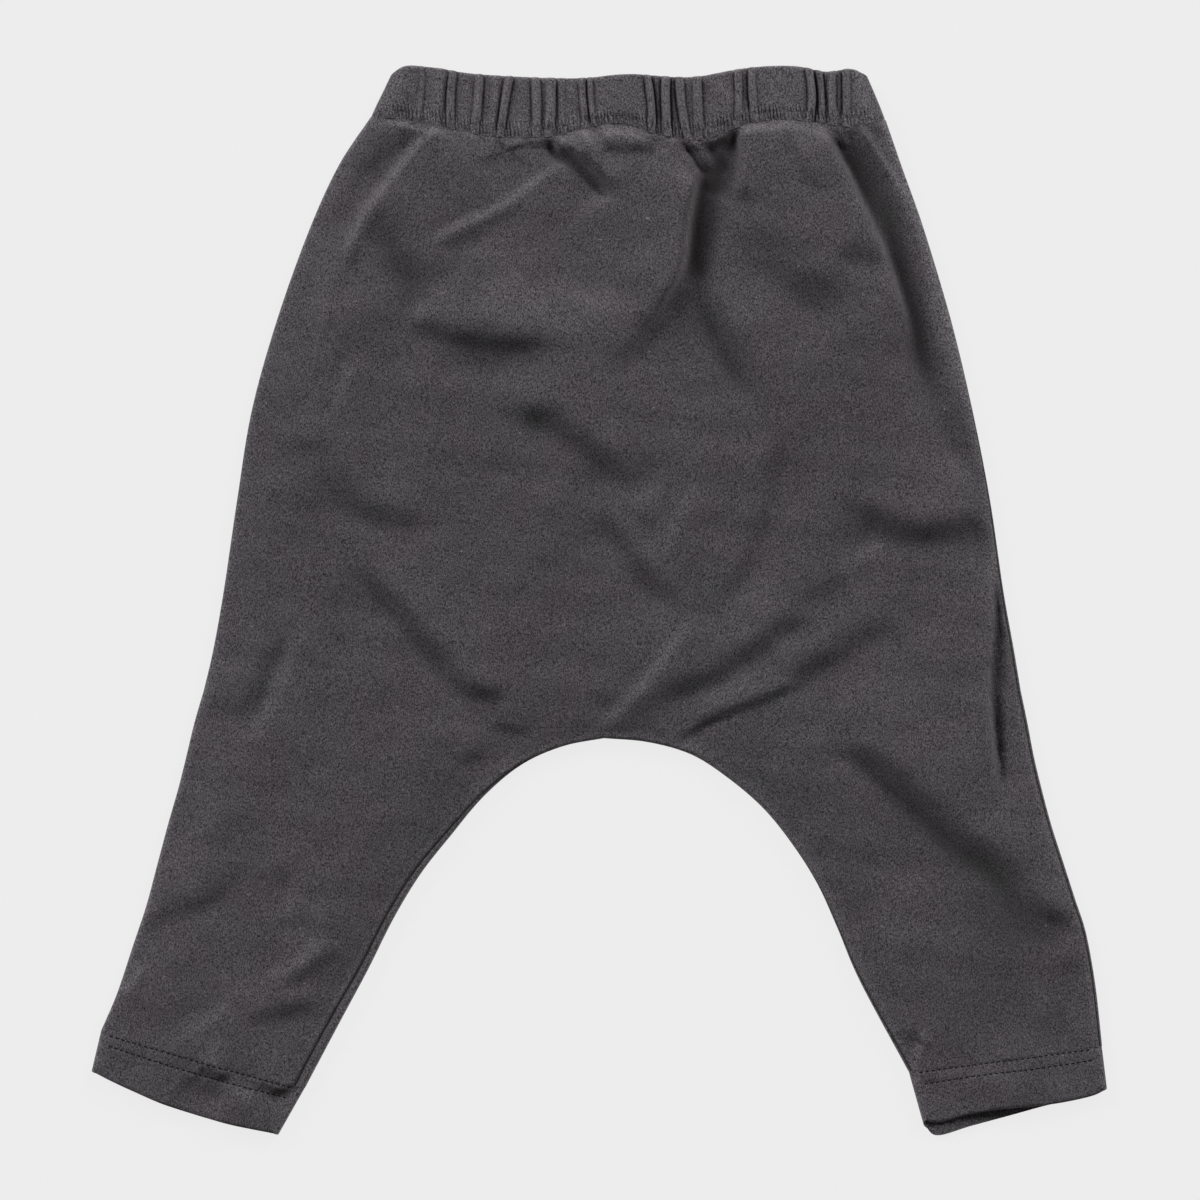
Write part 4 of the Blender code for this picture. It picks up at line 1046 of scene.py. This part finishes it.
def thread_material():
    """Matt charcoal sewing thread with a fine twist."""
    stitching = bpy.context.scene.leggings_stitching
    material, shader, start = new_surface("charcoal_thread", {"Roughness": 0.8, "Specular IOR Level": 0.1})
    place = start.make("ShaderNodeTexCoord", {}, output="Object")
    turned = {"Vector": place, "Rotation": (0.0, 0.0, 0.7), "Scale": (1.0, 3.0, 1.0)}
    twist = start.make("ShaderNodeMapping", turned)
    strands = start.noise(twist, 2600.0, 2.0, 0.6)
    colour = start.mix(strands.above(0.3, 0.7), rgba(stitching.colour, 0.75), rgba(stitching.colour, 1.3))
    bump = {"Strength": 0.6, "Distance": 0.1 * MM, "Height": strands}
    start.make("ShaderNodeBump", bump).drive(shader, "Normal")
    colour.drive(shader, "Base Color")
    material.diffuse_color = rgba(stitching.colour)
    return material


# ------------------------------------------------------------------------------------------- pieces

def settle(piece, material, *nodes):
    """Give a piece its material and its place on the body, and hide the CAD nodes it stands for."""
    piece.data.materials.append(material)
    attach(piece, "root")
    if nodes:
        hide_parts(*nodes)


def sew(name, tube, pitch, length, thick, material):
    """Lay stitches on both faces of a tube, along its needle rows, and make them one piece."""
    one = bmesh.new()
    bmesh.ops.create_uvsphere(one, u_segments=6, v_segments=5, radius=0.5)
    bmesh.ops.scale(one, verts=one.verts, vec=(thick * MM, thick * MM, length * MM))
    pattern = bpy.data.meshes.new("stitch")
    one.to_mesh(pattern)
    one.free()
    bm = bmesh.new()
    for front, seam, free in zip((True, False), tube.seams, tube.free_edges):
        for number, away in enumerate(tube.rows):
            radius = float(np.interp(away, [r.away for r in tube.rings], [r.radius for r in tube.rings]))
            width = np.linalg.norm(np.subtract(seam[-1], seam[0]))
            count = int(round((width - 4 * radius) / pitch))
            ends = 2 * radius / width
            line = tube_spots(seam, free, np.linspace(0, 1, 40 * count), away / tube.depth, ends)
            heights, _ = tube.face(front, line, Ring(away, radius, 1.0))
            line = np.column_stack([line, heights])
            for share in (np.arange(count) + 0.5 + 0.25 * number) / (count + 0.5):
                middle = int(share * (len(line) - 1))
                along = Vector(line[min(middle + 12, len(line) - 1)] - line[max(middle - 12, 0)])
                spot = Vector(line[middle]) + Vector((0, 0, -0.06 if front else 0.1))
                turn = along.to_track_quat("Z", "Y").to_matrix().to_4x4()
                copy = pattern.copy()
                copy.transform(Matrix.Translation(spot * MM) @ turn)
                bm.from_mesh(copy)
                bpy.data.meshes.remove(copy)
    bpy.data.meshes.remove(pattern)
    settle(finish_mesh(bm, name), material)


class LEGGINGS_OT_front_cloth(bpy.types.Operator):
    """Make the front panel with its folds"""
    bl_idname = "leggings.front_cloth"
    bl_label = "Front panel"

    def execute(self, context):
        piece = make_panel("front_cloth", True, FRONT_ROW, FRONT_FIRST_ROWS, FRONT_CELLS)
        settle(piece, jersey_material(), "front_panel")
        return {"FINISHED"}


class LEGGINGS_OT_back_cloth(bpy.types.Operator):
    """Make the back panel that the garment lies on"""
    bl_idname = "leggings.back_cloth"
    bl_label = "Back panel"

    def execute(self, context):
        piece = make_panel("back_cloth", False, BACK_ROW, BACK_FIRST_ROWS, BACK_CELLS)
        settle(piece, jersey_material(), "back_panel")
        return {"FINISHED"}


class LEGGINGS_OT_waistband(bpy.types.Operator):
    """Make the gathered elastic waistband"""
    bl_idname = "leggings.waistband"
    bl_label = "Waistband"

    def execute(self, context):
        bm = bmesh.new()
        add_grid(bm, *tube_grid(waist_tube(), *BAND_CELLS))
        piece = finish_wall(bm, "waistband_cloth")
        settle(piece, jersey_material(), "waistband")
        return {"FINISHED"}


class LEGGINGS_OT_hems(bpy.types.Operator):
    """Make the two turned hems"""
    bl_idname = "leggings.hems"
    bl_label = "Hems"

    def execute(self, context):
        for side, width in (("left", 0.152), ("right", 0.150)):
            bm = bmesh.new()
            add_grid(bm, *tube_grid(hem_tube(side), *HEM_CELLS))
            piece = finish_wall(bm, "hem_" + side + "_cloth")
            settle(piece, jersey_material(), "hem_" + side)
        return {"FINISHED"}


class LEGGINGS_OT_thread(bpy.types.Operator):
    """Sew the twin needle rows of the waistband and the hems"""
    bl_idname = "leggings.thread"
    bl_label = "Thread"

    def execute(self, context):
        stitching = context.scene.leggings_stitching
        material = thread_material()
        pitch, thick = stitching.waist_pitch / MM, stitching.thickness / MM
        sew("thread_waist", waist_tube(), pitch, 0.5 * pitch, 0.5 * thick, material)
        pitch = stitching.hem_pitch / MM
        for side in ("left", "right"):
            sew("thread_hem_" + side, hem_tube(side), pitch, 0.7 * pitch, 1.5 * thick, material)
        return {"FINISHED"}


class LEGGINGS_OT_studio(bpy.types.Operator):
    """Set up the pale floor, the soft light and the camera"""
    bl_idname = "leggings.studio"
    bl_label = "Studio"

    def execute(self, context):
        studio = context.scene.leggings_studio
        bm = bmesh.new()
        low = Matrix.Translation((0, 0, -0.2 * MM))
        bmesh.ops.create_grid(bm, x_segments=1, y_segments=1, size=6.0, matrix=low)
        floor = finish_mesh(bm, "floor")
        material, shader, start = new_surface("pale_floor", {
            "Roughness": 1.0, "Specular IOR Level": 0.0, "Emission Color": (1.0, 1.0, 1.0, 1.0),
            "Emission Strength": studio.floor_glow,
        })
        place = start.make("ShaderNodeTexCoord", {}, output="Object")
        tooth = start.noise(place, 900.0, 2.0, 0.5)
        darker, paler = (rgba((1, 1, 1), studio.floor_tone * share) for share in (0.98, 1.02))
        start.mix(tooth, darker, paler).drive(shader, "Base Color")
        floor.data.materials.append(material)

        for name, heading, share in (
            ("left_light", studio.left_heading, 1.0),
            ("right_light", studio.right_heading, studio.right_share),
        ):
            light = bpy.data.lights.new(name, "SUN")
            light.energy = studio.strength * share
            light.angle = studio.softness
            lamp = bpy.data.objects.new(name, light)
            flat = math.cos(studio.elevation)
            towards = Vector((math.cos(heading) * flat, math.sin(heading) * flat, math.sin(studio.elevation)))
            lamp.rotation_mode = "QUATERNION"
            lamp.rotation_quaternion = towards.to_track_quat("Z", "Y")
            lamp.location = towards
            context.scene.collection.objects.link(lamp)

        world = bpy.data.worlds.new("studio_air")
        world.use_nodes = True
        air = Shade(world.node_tree)
        seen = air.make("ShaderNodeLightPath", {}, output="Is Camera Ray")
        fill, paper = rgba((1, 1, 1), studio.fill), rgba((0.847, 0.847, 0.847))
        air.mix(seen, fill, paper).drive(world.node_tree.nodes["Background"], "Color")
        context.scene.world = world
        context.scene.view_settings.view_transform = "Standard"

        camera = bpy.data.objects.new("camera", bpy.data.cameras.new("camera"))
        camera.data.lens = studio.lens
        camera.data.sensor_width = 36.0
        camera.location = (0.0, 0.000375, studio.camera_height)
        context.scene.collection.objects.link(camera)
        context.scene.camera = camera
        return {"FINISHED"}


class LeggingsCloth(bpy.types.PropertyGroup):
    """Cloth of the leggings"""
    colour: bpy.props.FloatVectorProperty(
        name="Colour", description="Main colour of the jersey", subtype="COLOR", size=3, min=0.0, max=1.0,
        default=(0.053, 0.0492, 0.0538))
    # Colour of worn nap, also used for painted highlights on ridges and rims.
    worn_and_highlight_colour: bpy.props.FloatVectorProperty(
        name="Worn colour", description="Colour of the nap where seams and ridges have rubbed it",
        subtype="COLOR", size=3, min=0.0, max=1.0, default=(0.112, 0.105, 0.113))
    thickness: bpy.props.FloatProperty(
        name="Thickness", description="Thickness of one layer of jersey", default=0.001, min=0.0006,
        max=0.0014, unit="LENGTH", subtype="DISTANCE", precision=4)
    fold_height: bpy.props.FloatProperty(
        name="Fold height", description="Height of the folds, as a share of the ones modelled", default=1.0,
        min=0.0, max=1.2, subtype="FACTOR")
    grain: bpy.props.FloatProperty(
        name="Grain", description="How strongly the knit's grain shows in the colour", default=1.0, min=0.0,
        max=2.0, subtype="FACTOR")


class LeggingsStitching(bpy.types.PropertyGroup):
    """Sewing thread of the leggings"""
    colour: bpy.props.FloatVectorProperty(
        name="Thread colour", description="Colour of the sewing thread", subtype="COLOR", size=3, min=0.0,
        max=1.0, default=(0.008, 0.0075, 0.008))
    thickness: bpy.props.FloatProperty(
        name="Thread thickness", description="Thickness of a stitch", default=0.0004, min=0.0002, max=0.0008,
        unit="LENGTH", subtype="DISTANCE", precision=5)
    waist_pitch: bpy.props.FloatProperty(
        name="Waist stitch", description="Distance from one waist stitch to the next",
        default=BAND_PITCH * MM, min=0.0008, max=0.003, unit="LENGTH", subtype="DISTANCE", precision=5)
    hem_pitch: bpy.props.FloatProperty(
        name="Hem stitch", description="Distance from one hem stitch to the next", default=HEM_PITCH * MM,
        min=0.001, max=0.004, unit="LENGTH", subtype="DISTANCE", precision=5)


class LeggingsStudio(bpy.types.PropertyGroup):
    """Floor, light and camera"""
    floor_tone: bpy.props.FloatProperty(
        name="Floor tone", description="How light the floor's surface is", default=0.045, min=0.0, max=1.0,
        subtype="FACTOR")
    floor_glow: bpy.props.FloatProperty(
        name="Floor glow", description="Light that the lit paper floor gives back", default=0.806, min=0.0,
        max=1.0, subtype="FACTOR")
    strength: bpy.props.FloatProperty(
        name="Light strength", description="Strength of the left light", default=3.2, min=0.0, max=20.0)
    right_share: bpy.props.FloatProperty(
        name="Right light", description="Strength of the right light, as a share of the left one",
        default=0.95, min=0.0, max=2.0, subtype="FACTOR")
    softness: bpy.props.FloatProperty(
        name="Softness", description="Angle that each light fills in the sky", default=math.radians(24.0),
        min=0.0, max=math.radians(90.0), unit="ROTATION", subtype="ANGLE")
    elevation: bpy.props.FloatProperty(
        name="Elevation", description="Height of the lights above the horizon", default=math.radians(22.0),
        min=0.0, max=math.radians(90.0), unit="ROTATION", subtype="ANGLE")
    left_heading: bpy.props.FloatProperty(
        name="Left heading",
        description="Where the left light stands, turned from the right towards the waist",
        default=math.radians(138.0), min=0.0, max=math.radians(360.0), unit="ROTATION", subtype="ANGLE")
    right_heading: bpy.props.FloatProperty(
        name="Right heading",
        description="Where the right light stands, turned from the right towards the waist",
        default=math.radians(50.0), min=0.0, max=math.radians(360.0), unit="ROTATION", subtype="ANGLE")
    fill: bpy.props.FloatProperty(
        name="Fill light", description="Strength of the light from all round", default=0.15, min=0.0, max=2.0)
    camera_height: bpy.props.FloatProperty(
        name="Camera height", description="Height of the camera above the floor", default=1.6, min=0.5,
        max=5.0, unit="LENGTH", subtype="DISTANCE")
    lens: bpy.props.FloatProperty(
        name="Lens", description="Focal length of the camera", default=128.0, min=20.0, max=300.0,
        unit="CAMERA", subtype="DISTANCE_CAMERA")


class LEGGINGS_PT_pieces(bpy.types.Panel):
    """Pieces of the leggings and what can be changed on them"""
    bl_label = "Baby leggings"
    bl_space_type = "VIEW_3D"
    bl_region_type = "UI"
    bl_category = "Leggings"

    def draw(self, context):
        for group in SETTINGS:
            settings = getattr(context.scene, group)
            box = self.layout.box()
            for name in settings.__annotations__:
                box.prop(settings, name)
        for operator in OPERATORS:
            self.layout.operator(operator.bl_idname)


OPERATORS = (
    LEGGINGS_OT_back_cloth,
    LEGGINGS_OT_front_cloth,
    LEGGINGS_OT_waistband,
    LEGGINGS_OT_hems,
    LEGGINGS_OT_thread,
    LEGGINGS_OT_studio,
)
SETTINGS = {
    "leggings_cloth": LeggingsCloth,
    "leggings_stitching": LeggingsStitching,
    "leggings_studio": LeggingsStudio,
}
CLASSES = tuple(SETTINGS.values()) + (LEGGINGS_PT_pieces,) + OPERATORS


def register():
    for kind in CLASSES:
        bpy.utils.register_class(kind)
    for name, kind in SETTINGS.items():
        setattr(bpy.types.Scene, name, bpy.props.PointerProperty(type=kind))


def unregister():
    for name in SETTINGS:
        delattr(bpy.types.Scene, name)
    for kind in reversed(CLASSES):
        bpy.utils.unregister_class(kind)


def main():
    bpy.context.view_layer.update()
    register()
    bpy.ops.leggings.back_cloth()
    bpy.ops.leggings.front_cloth()
    bpy.ops.leggings.waistband()
    bpy.ops.leggings.hems()
    bpy.ops.leggings.thread()
    bpy.ops.leggings.studio()


if __name__ == "__main__":
    main()
